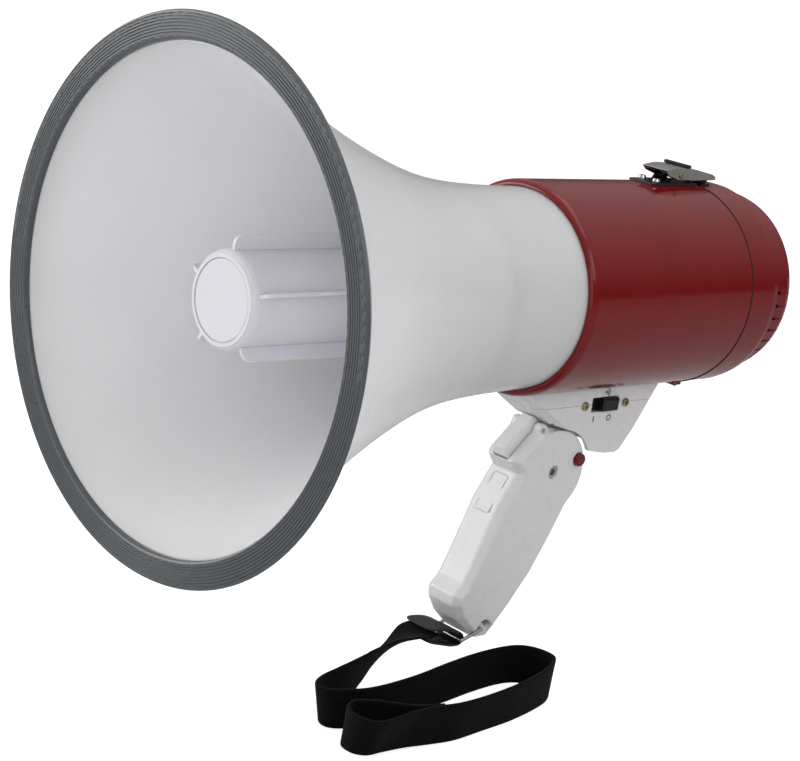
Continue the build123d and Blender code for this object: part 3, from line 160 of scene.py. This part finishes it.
def board(name):
    """Circuit board: green laminate with copper tracks under the mask."""
    s = Shader(name)
    wave = s.node("ShaderNodeTexWave", wave_type="BANDS", bands_direction="Z")
    wave.inputs["Scale"].default_value = 130
    wave.inputs["Distortion"].default_value = 6
    s.link(s.coords(), wave.inputs["Vector"])
    s.colour(
        s.blend(
            s.spread(wave.outputs["Fac"], 0, 1, 0.7, 0.8),
            (0.01, 0.10, 0.045),
            (0.05, 0.24, 0.11),
        )
    )
    s.put("Roughness", 0.35)
    s.bump(wave.outputs["Fac"], 0.00003, 0.4)
    return s.material


def webbing_material(name):
    """Woven polyester webbing: warp cords and weft picks, with painted shade in the gaps between them.
    """
    s = Shader(name)
    lengthwise = s.node("ShaderNodeTexWave", wave_type="BANDS", bands_direction="X")
    lengthwise.inputs["Scale"].default_value = 260
    across = s.node("ShaderNodeTexWave", wave_type="BANDS", bands_direction="Y")
    across.inputs["Scale"].default_value = 300
    for wave in (lengthwise, across):
        wave.inputs["Distortion"].default_value = 0.6
        s.link(s.coords(uv=True), wave.inputs["Vector"])
    both = s.node("ShaderNodeMath", operation="MULTIPLY")
    s.link(lengthwise.outputs["Fac"], both.inputs[0])
    s.link(across.outputs["Fac"], both.inputs[1])
    # painted shade: the gaps between the threads are coloured darker than the thread itself
    between = (0.0008, 0.0008, 0.0008)
    thread = (0.0060, 0.0058, 0.0056)
    s.colour(s.blend(s.spread(both.outputs[0], 0, 1, 0.0, 0.7), between, thread))
    s.roughness(s.spread(s.noise(900, 3), 0.62, 0.86))
    s.bump(both.outputs[0], 0.0002, 0.8)
    s.put("Specular IOR Level", 0.10)
    s.put("Sheen Weight", 0.03)
    s.put("Sheen Roughness", 0.4)
    return s.material


def leather(name):
    """Smooth black leather: fine pebbled grain, glossier on top of each cell."""
    s = Shader(name)
    cell = s.node("ShaderNodeTexVoronoi", feature="DISTANCE_TO_EDGE")
    cell.inputs["Scale"].default_value = 1100
    s.link(s.coords(), cell.inputs["Vector"])
    s.colour(
        s.blend(s.spread(s.noise(200, 4), 0, 1), (0.003, 0.003, 0.0035), (0.009, 0.0088, 0.0088))
    )
    s.roughness(s.spread(cell.outputs["Distance"], 0.55, 0.32, 0, 0.25))
    s.bump(s.spread(cell.outputs["Distance"], 0, 1, 0, 0.12), 0.00006, 0.6)
    return s.material


# --------------------------------------------------------------------- materials
MATERIALS = {
    "bell_plastic": plastic("bell_plastic", (0.78, 0.78, 0.80), 0.20, mottle=0.012),
    "case_plastic": plastic("case_plastic", (0.79, 0.79, 0.795), 0.27, 1100, 0.00003, mottle=0.008),
    "inner_plastic": plastic("inner_plastic", (0.78, 0.77, 0.82), 0.34, mottle=0.012),
    "barrel_plastic": plastic("barrel_plastic", (0.185, 0.003, 0.004), 0.15, mottle=0.04, ior=1.42),
    "button_plastic": plastic("button_plastic", (0.16, 0.004, 0.006), 0.25, mottle=0.08),
    "black_plastic": plastic("black_plastic", (0.006, 0.006, 0.0065), 0.36, 1400, 0.00007),
    "trim_rubber": rubber("trim_rubber", (0.082, 0.090, 0.096), 0.30),
    "gasket_rubber": rubber("gasket_rubber", (0.004, 0.004, 0.004), 0.7),
    "latch_metal": metal("latch_metal", (0.46, 0.46, 0.44), 0.30, (1, 14, 1)),
    "latch_black": plastic("latch_black", (0.008, 0.008, 0.008), 0.30, mottle=0.2),
    "bright_screw": metal("bright_screw", (0.66, 0.66, 0.66), 0.14),
    "brass_screw": metal("brass_screw", (0.46, 0.40, 0.24), 0.24, stain=(0.14, 0.10, 0.05)),
    "spring_steel": metal("spring_steel", (0.52, 0.52, 0.53), 0.26),
    "magnet": metal("magnet", (0.05, 0.05, 0.055), 0.6),
    "plated_steel": metal("plated_steel", (0.50, 0.49, 0.42), 0.34),
    "coil_copper": metal("coil_copper", (0.55, 0.20, 0.08), 0.25, (30, 1, 1)),
    "cell_jacket": plastic("cell_jacket", (0.02, 0.03, 0.07), 0.28, mottle=0.1),
    "board": board("board"),
    "board_parts": plastic("board_parts", (0.02, 0.02, 0.022), 0.45),
    "webbing": webbing_material("webbing"),
    "tab_leather": leather("tab_leather"),
    "snap_metal": metal("snap_metal", (0.62, 0.62, 0.62), 0.2),
}
# the bell's thin moulding lets some light through
bell = MATERIALS["bell_plastic"].node_tree.nodes["Principled BSDF"]
bell.inputs["Subsurface Weight"].default_value = 0.6
bell.inputs["Subsurface Radius"].default_value = (1, 1, 1.1)
bell.inputs["Subsurface Scale"].default_value = 0.012
SLOT_OF = {subpart["node"]: subpart["material_slot"] for subpart in record["subparts"]}
for node, slot_name in SLOT_OF.items():
    item = nodes[node]
    for material_slot in item.material_slots:
        material_slot.material = MATERIALS[slot_name]
    if not item.material_slots:
        item.data.materials.append(MATERIALS[slot_name])


def place(name, mesh, body, slot):
    """Object for a finished mesh, which rides on a body and takes a slot's finish."""
    mesh.materials.clear()
    mesh.materials.append(MATERIALS[slot])
    piece = bpy.data.objects.new(name, mesh)
    bpy.context.scene.collection.objects.link(piece)
    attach(piece, body)
    return piece


def stand_in(name, mesh, body, *members):
    """Object for a mesh that is shown in place of the given nodes."""
    piece = place(name, mesh, body, SLOT_OF[members[0]])
    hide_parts(*members)
    return piece


def placed_copy(node):
    """Copy of a node's mesh, in the frame's own axes."""
    mesh = nodes[node].data.copy()
    mesh.transform(nodes[node].matrix_world)
    return mesh


def new_piece(name, verts, faces, body, slot, smooth=True, uvs=None):
    """A piece made from its own vertices and faces."""
    mesh = bpy.data.meshes.new(name)
    mesh.from_pydata([tuple(v) for v in verts], [], faces)
    mesh.validate()
    if uvs is not None:
        layer = mesh.uv_layers.new(name="UVMap")
        for loop in mesh.loops:
            layer.data[loop.index].uv = uvs[loop.vertex_index]
    for polygon in mesh.polygons:
        polygon.use_smooth = smooth
    return place(name, mesh, body, slot)


# ------------------------------------------------------- rounded moulded edges
WELD = 0.00001  # m, between vertices that count as one
FLAT_TURN = 1.0  # degrees, below which two faces count as one flat face
SHARP_TURN = 35.0  # degrees, above which an edge is shaded as a crease


def round_edges(node, body, width, least=25.0, longer=0.0015, segments=3):
    """Stand-in for a node, its longer edges rounded where faces turn by the least angle."""
    work = bmesh.new()
    work.from_mesh(nodes[node].data)
    work.transform(nodes[node].matrix_world)
    bmesh.ops.remove_doubles(work, verts=work.verts, dist=WELD)
    bmesh.ops.dissolve_limit(
        work, angle_limit=math.radians(FLAT_TURN), verts=work.verts, edges=work.edges
    )
    chosen = []
    for e in work.edges:
        if len(e.link_faces) != 2 or not e.is_convex or e.calc_length() < longer:
            continue
        if least < math.degrees(e.calc_face_angle(0)) < 180:
            chosen.append(e)
    bmesh.ops.bevel(
        work,
        geom=chosen,
        offset=width,
        offset_type="OFFSET",
        segments=segments,
        profile=0.5,
        affect="EDGES",
        clamp_overlap=True,
    )
    for face in work.faces:
        face.smooth = True
    for e in work.edges:
        if len(e.link_faces) == 2 and e.calc_face_angle(0) > math.radians(SHARP_TURN):
            e.smooth = False
    mesh = bpy.data.meshes.new("rounded_" + node)
    work.to_mesh(mesh)
    work.free()
    piece = stand_in("rounded_" + node, mesh, body, node)
    even = piece.modifiers.new("even_normals", "WEIGHTED_NORMAL")
    even.keep_sharp = True


def soft_moulding(name, members, body, cell, passes):
    """Stand-in for touching shells: their surface relaxed so its edges are round."""
    work = bmesh.new()
    for node in members:
        shell = placed_copy(node)
        work.from_mesh(shell)
        bpy.data.meshes.remove(shell)
    mesh = bpy.data.meshes.new(name)
    work.to_mesh(mesh)
    work.free()
    piece = stand_in(name, mesh, body, *members)
    cells = piece.modifiers.new("cells", "REMESH")
    cells.mode = "VOXEL"
    cells.voxel_size = cell
    cells.use_smooth_shade = True
    relax = piece.modifiers.new("relax", "SMOOTH")
    relax.factor = 0.5
    relax.iterations = passes


soft_moulding("grip_moulding", ("grip_left_shell", "grip_right_shell"), "grip", 0.0005, 14)
for node in ("bracket_saddle", "bracket_housing"):
    round_edges(node, "housing", 0.0007, least=30, longer=0.003)
round_edges("trigger", "trigger", 0.0009, least=20, longer=0.002)
round_edges("latch_lever", "latch_lever", 0.0003, least=30, longer=0.001)
round_edges("switch_knob", "switch_knob", 0.0003, least=30, longer=0.001)


# ------------------------------------------- turned parts brought nearer their look
def move_radii(mesh, new_radius):
    """Move each vertex square to the horn axis, to new_radius(its radius); metres."""
    axis_z = AXIS_Z * MM
    for vertex in mesh.vertices:
        arm = Vector((0, vertex.co.y, vertex.co.z - axis_z))
        radius = new_radius(arm.length)
        if radius != arm.length:
            arm *= radius / arm.length
            vertex.co.y = arm.y
            vertex.co.z = axis_z + arm.z


def fuller_fins():
    """The reflector's fins, standing a little taller than the CAD ones."""
    foot = 0.02103
    taller = 1.32
    mesh = placed_copy("reflector_fins")
    move_radii(mesh, lambda r: foot + (r - foot) * taller if r > foot + 0.0005 else r)
    piece = stand_in("fuller_fins", mesh, "housing", "reflector_fins")
    rounded = piece.modifiers.new("rounded", "BEVEL")
    rounded.width = 0.0005
    rounded.segments = 2


def slim_trim():
    """The rim trim, with its inner lip drawn outwards to the bell's edge."""
    lip, new_lip, outside = 0.1008, 0.1031, 0.1146
    narrower = (outside - new_lip) / (outside - lip)
    mesh = placed_copy("rim_trim")
    move_radii(mesh, lambda r: outside - (outside - r) * narrower if r < outside else r)
    stand_in("slim_trim", mesh, "housing", "rim_trim")


SEAM_FRONT = -97.02  # x of the ring's front face, mm
SEAM_BACK = -97.68
SEAM_INNER_R = 48.4
SEAM_EDGE_R = 50.9
SEAM_CREST_R = 51.2
HINGE_GAP = 21.0  # degrees to each side of the hinge, where the ring stops


def seam_shade_ring():
    """The gasket, filling the seam between barrel and rear cap, a hair proud: a near-black ring,
    partly the gasket's own rubber and partly painted shade of the seam gap.
    """
    around = 180
    section = [
        (SEAM_FRONT, SEAM_INNER_R),
        (SEAM_FRONT, SEAM_EDGE_R),
        ((SEAM_FRONT + SEAM_BACK) / 2, SEAM_CREST_R),
        (SEAM_BACK, SEAM_EDGE_R),
        (SEAM_BACK, SEAM_INNER_R),
    ]
    gap = math.radians(HINGE_GAP)
    n = len(section)
    verts = []
    faces = []
    for i in range(around + 1):
        turn = -math.pi / 2 + gap + (2 * math.pi - 2 * gap) * i / around
        for x, radius in section:
            across = radius * math.cos(turn)
            verts.append(Vector((x, across, AXIS_Z + radius * math.sin(turn))) * MM)
    for i in range(around):
        for k in range(n):
            a = i * n + k
            b = i * n + (k + 1) % n
            faces.append((a, b, b + n, a + n))
    faces.append(tuple(range(n))[::-1])
    faces.append(tuple(range(around * n, around * n + n)))
    piece = new_piece("seam_shade_ring", verts, faces, "rear_cap", "gasket_rubber")
    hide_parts("seam_gasket")


fuller_fins()
slim_trim()
seam_shade_ring()


# ------------------------------------------------------------- the wrist strap
# middle line of the webbing from the tab: x, y, z, then the way across it, in mm
WEBBING_WIDTH = 20.0
WEBBING_THICK = 1.3
SURFACE_Z = -54.0
STANDING_Z = SURFACE_Z + WEBBING_WIDTH / 2
STRAP = [
    (40.0, 0.0, -37.6, (0, 1, 0)),
    (47.0, 0.2, -38.2, (0, 1, 0)),
    (56.0, 2.0, -39.6, (-0.05, 0.93, 0.36)),
    (66.0, 4.2, -40.9, (-0.14, 0.76, 0.63)),
    (77.0, 8.4, -42.2, (-0.17, 0.50, 0.85)),
    (88.0, 13.0, -43.2, (-0.12, 0.28, 0.95)),
    (106.0, 20.6, STANDING_Z, (-0.02, 0.04, 1)),
    (118.0, 25.2, STANDING_Z, (0.12, -0.08, 1)),
    (129.0, 28.6, STANDING_Z, (0.20, -0.12, 1)),
    (136.2, 33.0, STANDING_Z, (0.24, -0.06, 1)),
    (136.0, 39.2, STANDING_Z, (0.18, 0.0, 1)),
    (129.0, 43.8, STANDING_Z, (0.06, 0.05, 1)),
    (116.0, 46.6, STANDING_Z, (0, 0.06, 1)),
    (91.0, 45.0, STANDING_Z, (0, 0.06, 1)),
    (66.0, 41.5, STANDING_Z, (0, -0.04, 1)),
    (45.0, 38.5, STANDING_Z, (0, -0.04, 1)),
    (26.0, 37.6, STANDING_Z, (0, 0, 1)),
    (15.0, 40.0, STANDING_Z, (0, 0, 1)),
    (9.8, 47.0, STANDING_Z, (-0.05, 0, 1)),
    (9.8, 55.4, STANDING_Z, (-0.08, 0, 1)),
    (16.0, 61.0, STANDING_Z, (-0.05, -0.03, 1)),
    (29.0, 66.0, STANDING_Z, (0, 0.04, 1)),
    (50.0, 70.8, STANDING_Z, (0, 0.10, 1)),
    (72.0, 73.4, STANDING_Z, (0, 0.15, 1)),
    (90.0, 74.6, STANDING_Z, (0, 0.12, 1)),
    (103.0, 73.0, STANDING_Z, (0, 0.12, 1)),
    (116.0, 71.2, STANDING_Z, (-0.02, 0.2, 1)),
    (128.0, 71.0, STANDING_Z, (-0.04, 0.3, 1)),
    (137.6, 70.6, STANDING_Z, (0.06, 0.32, 1)),
    (142.6, 65.0, STANDING_Z, (0.12, 0.2, 1)),
    (141.6, 57.0, STANDING_Z, (0.08, 0.1, 1)),
    (135.0, 53.4, STANDING_Z, (0, 0.05, 1)),
    (127.0, 56.6, STANDING_Z, (-0.04, 0.1, 1)),
    (120.0, 62.2, STANDING_Z, (0, 0.12, 1)),
    (111.0, 68.6, STANDING_Z, (0, 0.12, 1)),
    (99.0, 72.3, STANDING_Z, (0, 0.12, 1)),
]
PICK_STEP = 0.6  # mm between rows of the woven surface
CORDS = 22  # cords across the webbing
WEAVE_DEPTH = 0.10


def catmull(points, t):
    """Point on a smooth curve through the points, t from 0 to their number less 1."""
    i = min(int(t), len(points) - 2)
    f = t - i
    p = [points[min(max(i + k, 0), len(points) - 1)] for k in (-1, 0, 1, 2)]
    return 0.5 * (
        2 * p[1]
        + (p[2] - p[0]) * f
        + (2 * p[0] - 5 * p[1] + 4 * p[2] - p[3]) * f**2
        + (3 * p[1] - p[0] - 3 * p[2] + p[3]) * f**3
    )


def even_stations(points, step):
    """Curve parameters spaced evenly along the curve, and its length."""
    fine = 40
    samples = [catmull(points, i / fine) for i in range(fine * (len(points) - 1) + 1)]
    lengths = [0.0]
    for a, b in zip(samples, samples[1:]):
        lengths.append(lengths[-1] + (b - a).length)
    count = max(2, round(lengths[-1] / step))
    stations = []
    j = 0
    for k in range(count + 1):
        target = lengths[-1] * k / count
        while j < len(lengths) - 2 and lengths[j + 1] < target:
            j += 1
        span = lengths[j + 1] - lengths[j]
        stations.append((j + (target - lengths[j]) / span) / fine)
    return stations, lengths[-1]


def webbing():
    """The whole strap as one woven ribbon, with rounded selvedges."""
    centre = [Vector(p[:3]) for p in STRAP]
    ways = [Vector(p[3]).normalized() for p in STRAP]
    stations, length = even_stations(centre, PICK_STEP)
    verts = []
    uvs = []
    ring = 2 * CORDS
    for row, t in enumerate(stations):
        t = min(t, len(centre) - 1.001)
        here = catmull(centre, t)
        ahead = catmull(centre, min(t + 0.02, len(centre) - 1.0001))
        behind = catmull(centre, max(t - 0.02, 0))
        along = (ahead - behind).normalized()
        way = catmull(ways, t)
        way = (way - along * way.dot(along)).normalized()
        out = along.cross(way)
        drop = 0.0
        if here.z < STANDING_Z + 0.5:
            drop = WEBBING_WIDTH / 2 * (1 - abs(way.z))
        for k in range(ring):
            side = 1 if k < CORDS else -1
            j = k if side == 1 else ring - 1 - k
            across = (j + 0.5) / CORDS * 2 - 1
            edge = min(1.0, (1 - abs(across)) * CORDS / 2.5)
            swell = WEAVE_DEPTH * (1 if (row + j) % 2 else -1) * edge
            half = WEBBING_THICK / 2 * (0.45 + 0.55 * edge) + swell * 0.5
            spot = here + way * (across * WEBBING_WIDTH / 2) + out * side * half
            spot.z -= drop
            verts.append(spot * MM)
            run = length * row / (len(stations) - 1)
            uvs.append((run * MM, (across + 1) * WEBBING_WIDTH / 2 * MM))
    faces = []
    rows = len(stations)
    for row in range(rows - 1):
        for k in range(ring):
            a = row * ring + k
            b = row * ring + (k + 1) % ring
            faces.append((a, b, b + ring, a + ring))
    faces.append(tuple(range(ring))[::-1])
    faces.append(tuple(range((rows - 1) * ring, rows * ring)))
    piece = new_piece("wrist_webbing", verts, faces, "bail", "webbing", True, uvs)
    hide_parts("strap_webbing")
    return piece, length


strap, strap_length = webbing()


def stitch_line(name, points, way, body, gap=2.2, stitch=1.5, radius=0.22):
    """Thread stitches lying on a surface, along a line of points in mm."""
    verts = []
    faces = []
    path = [Vector(p) for p in points]
    total = sum((b - a).length for a, b in zip(path, path[1:]))
    count = int(total / gap)
    for i in range(count):
        target = (i + 0.5) * total / count
        for a, b in zip(path, path[1:]):
            if target <= (b - a).length:
                break
            target -= (b - a).length
        along = (b - a).normalized()
        middle = a + along * target
        lift = Vector(way).normalized()
        side = along.cross(lift)
        base = len(verts)
        for s, rise in ((-1, -0.1), (-0.6, 0.16), (0, 0.22), (0.6, 0.16), (1, -0.1)):
            for k in range(6):
                turn = 2 * math.pi * k / 6
                offset = side * math.cos(turn) * radius + lift * (math.sin(turn) * radius * 0.8 + rise)
                verts.append((middle + along * s * stitch / 2 + offset) * MM)
        for ring in range(4):
            for k in range(6):
                a0 = base + ring * 6 + k
                b0 = base + ring * 6 + (k + 1) % 6
                faces.append((a0, b0, b0 + 6, a0 + 6))
        faces.append(tuple(base + k for k in range(6))[::-1])
        faces.append(tuple(base + 24 + k for k in range(6)))
    return new_piece(name, verts, faces, body, "webbing")


# ------------------------------------------------------------ the tab on the wire
TAB_HALF = 10.0
TAB_NECK = 7.8
TAB_THICK = 1.5
TAB_OUTER = [
    (46.4, -35.3), (42.0, -35.6), (36.0, -36.2), (31.0, -37.3), (27.4, -38.9),
    (24.9, -40.5), (22.6, -40.9), (21.3, -42.0), (21.0, -43.4), (21.7, -44.7),
    (23.3, -45.3), (26.0, -44.9), (30.0, -43.8), (36.0, -42.1), (42.0, -40.6), (46.4, -39.4),
]


def tab():
    """A strip folded round the wire, its two ends closed over the webbing."""
    verts = []
    faces = []
    outer = [Vector((x, 0, z)) for x, z in TAB_OUTER]
    rows = []
    for i, p in enumerate(outer):
        before = outer[max(i - 1, 0)]
        after = outer[min(i + 1, len(outer) - 1)]
        along = (after - before).normalized()
        inward = Vector((along.z, 0, -along.x))
        neck = min(1.0, max(0.0, (p.x - 25.5) / 3.5))
        half = TAB_NECK + (TAB_HALF - TAB_NECK) * neck * neck * (3 - 2 * neck)
        if p.x > 45.5:
            half -= 0.9
        rows.append((p, inward, half))
    across = (-1, -0.96, -0.6, 0, 0.6, 0.96, 1)
    for p, inward, half in rows:
        for depth in (0, 1):
            for y in across:
                pinch = 0.28 if abs(y) == 1 else 0.0
                shift = TAB_THICK * (depth * (1 - 2 * pinch) + pinch)
                spot = p + inward * shift
                verts.append((spot + Vector((0, y * half, 0))) * MM)
    n = len(across)
    per = 2 * n
    for i in range(len(rows) - 1):
        for k in range(n - 1):
            a = i * per + k
            faces.append((a, a + 1, a + 1 + per, a + per))
            b = i * per + n + k
            faces.append((b + 1, b, b + per, b + 1 + per))
        a, b = i * per, i * per + n
        faces.append((b, a, a + per, b + per))
        a, b = i * per + n - 1, i * per + per - 1
        faces.append((a, b, b + per, a + per))
    for base in (0, (len(rows) - 1) * per):
        ring = list(range(base, base + n)) + list(range(base + per - 1, base + n - 1, -1))
        faces.append(tuple(ring if base else ring[::-1]))
    piece = new_piece("wire_tab", verts, faces, "bail", "tab_leather")
    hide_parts("strap_tab")
    rounding = piece.modifiers.new("rounding", "SUBSURF")
    rounding.levels = 2
    rounding.render_levels = 2
    return piece


tab_piece = tab()
stitch_line(
    "tab_stitches",
    [(44.6, -8.0, -35.45), (44.6, 8.0, -35.45)],
    (0, 0, 1),
    "bail",
)


# ----------------------------------------------------- printed marks by the switch
CHEEK_Y = 14.03  # just proud of the bracket's left cheek


def mark(name, strips, width=0.55):
    """A printed mark on the cheek, as thin strips along lines of (x, z) in mm."""
    verts = []
    faces = []
    for line in strips:
        base = len(verts)
        for i, (x, z) in enumerate(line):
            before = line[max(i - 1, 0)]
            after = line[min(i + 1, len(line) - 1)]
            dx, dz = after[0] - before[0], after[1] - before[1]
            size = math.hypot(dx, dz)
            nx, nz = -dz / size * width / 2, dx / size * width / 2
            verts.append(Vector((x + nx, CHEEK_Y, z + nz)) * MM)
            verts.append(Vector((x - nx, CHEEK_Y, z - nz)) * MM)
        for i in range(len(line) - 1):
            a = base + 2 * i
            faces.append((a, a + 1, a + 3, a + 2))
    piece = new_piece(name, verts, faces, "housing", "black_plastic", False)
    sheet_depth = piece.modifiers.new("depth", "SOLIDIFY")
    sheet_depth.thickness = 0.00005
    return piece


def arc(x, z, radius, start, end, steps=12):
    turns = [math.radians(start + (end - start) * i / steps) for i in range(steps + 1)]
    return [(x + radius * math.cos(t), z + radius * math.sin(t)) for t in turns]


mark("mark_on", [[(-39.0, 64.2), (-39.0, 67.0)]], 0.7)
mark("mark_off", [arc(-50.5, 65.6, 1.35, 0, 360, 24)])
mark(
    "mark_sound",
    [arc(-45.2, 79.0, r, 135, 225) for r in (1.0, 2.0, 3.0)] + [arc(-45.2, 79.0, 0.3, 0, 360, 8)],
    0.5,
)


# --------------------------------------------------------- stage, lights, camera
floor_mesh = bpy.data.meshes.new("floor")
edge = bmesh.new()
bmesh.ops.create_grid(edge, x_segments=1, y_segments=1, size=60.0)
edge.to_mesh(floor_mesh)
edge.free()
floor = bpy.data.objects.new("floor", floor_mesh)
floor.location = (0, 0, SURFACE_Z * MM - 0.0006)
bpy.context.scene.collection.objects.link(floor)
floor_shader = Shader("floor")
floor_shader.colour(
    floor_shader.blend(floor_shader.noise(3), (0.60, 0.60, 0.60), (0.62, 0.62, 0.62))
)
floor_shader.put("Roughness", 0.9)
floor_shader.put("Specular IOR Level", 0.1)
floor_shader.put("Emission Color", (1, 1, 1, 1))
# only the camera sees the sweep as pure white
seen = floor_shader.node("ShaderNodeLightPath")
floor_shader.link(
    floor_shader.spread(seen.outputs["Is Camera Ray"], 0.0, 0.78, 0, 1),
    floor_shader.bsdf.inputs["Emission Strength"],
)
floor_mesh.materials.append(floor_shader.material)

world = bpy.data.worlds.new("studio")
bpy.context.scene.world = world
world.use_nodes = True
sky = world.node_tree


def background(strength):
    n = sky.nodes.new("ShaderNodeBackground")
    n.inputs["Color"].default_value = (1, 1, 1, 1)
    n.inputs["Strength"].default_value = strength
    return n.outputs["Background"]


def pick(fac, first, second):
    n = sky.nodes.new("ShaderNodeMixShader")
    sky.links.new(fac, n.inputs["Fac"])
    sky.links.new(first, n.inputs[1])
    sky.links.new(second, n.inputs[2])
    return n.outputs["Shader"]


# the camera sees white, matt surfaces a fair room, reflections a dim one
rays = sky.nodes.new("ShaderNodeLightPath")
towards = sky.nodes.new("ShaderNodeTexCoord")
height = sky.nodes.new("ShaderNodeSeparateXYZ")
sky.links.new(towards.outputs["Generated"], height.inputs[0])
overhead = sky.nodes.new("ShaderNodeMapRange")
overhead.inputs["From Min"].default_value = 0.05
overhead.inputs["From Max"].default_value = 0.85
sky.links.new(height.outputs["Z"], overhead.inputs["Value"])
dim = pick(overhead.outputs["Result"], background(0.05), background(0.85))
matt = pick(rays.outputs["Is Glossy Ray"], background(0.56), dim)
whole = pick(rays.outputs["Is Camera Ray"], matt, background(1.05))
sky.links.new(whole, sky.nodes["World Output"].inputs["Surface"])


def softbox(name, spot, aim, size, power):
    """A rectangular area light at a spot, turned to face its aim."""
    light = bpy.data.lights.new(name, "AREA")
    light.shape = "RECTANGLE"
    light.size, light.size_y = size
    light.energy = power
    item = bpy.data.objects.new(name, light)
    item.location = spot
    direction = Vector(aim) - Vector(spot)
    item.rotation_euler = direction.to_track_quat("-Z", "Y").to_euler()
    bpy.context.scene.collection.objects.link(item)


MIDDLE = (0.06, 0.0, 0.10)
softbox("mouth", (1.5, -0.45, 0.30), (0.15, 0.0, 0.13), (1.0, 0.9), 2.5)
softbox("across", (0.85, -1.1, 0.45), (0.15, 0.0, 0.13), (0.8, 0.8), 8)
softbox("front", (1.2, 1.0, 0.4), (0.12, 0.0, 0.12), (0.8, 0.8), 2.5)
softbox("key", (0.2, 1.2, 0.9), MIDDLE, (0.8, 0.6), 2.5)
softbox("top", (-0.15, 0.15, 1.2), MIDDLE, (1.2, 0.5), 2.2)

CAMERA_PLACE = Vector((0.71019, 0.61347, 0.31047))
CAMERA_RIGHT = Vector((-0.71879, 0.67778, 0.15475))
CAMERA_UP = Vector((-0.06100, -0.28322, 0.95711))
CAMERA_BACK = Vector((0.69254, 0.67853, 0.24492))
camera_data = bpy.data.cameras.new("camera")
camera_data.sensor_fit = "HORIZONTAL"
camera_data.sensor_width = 36.0
camera_data.lens = 90.79
camera = bpy.data.objects.new("camera", camera_data)
turn = Matrix((CAMERA_RIGHT, CAMERA_UP, CAMERA_BACK)).transposed()
camera.matrix_world = Matrix.Translation(CAMERA_PLACE) @ turn.to_4x4()
bpy.context.scene.collection.objects.link(camera)
bpy.context.scene.camera = camera
bpy.context.scene.view_settings.view_transform = "Standard"
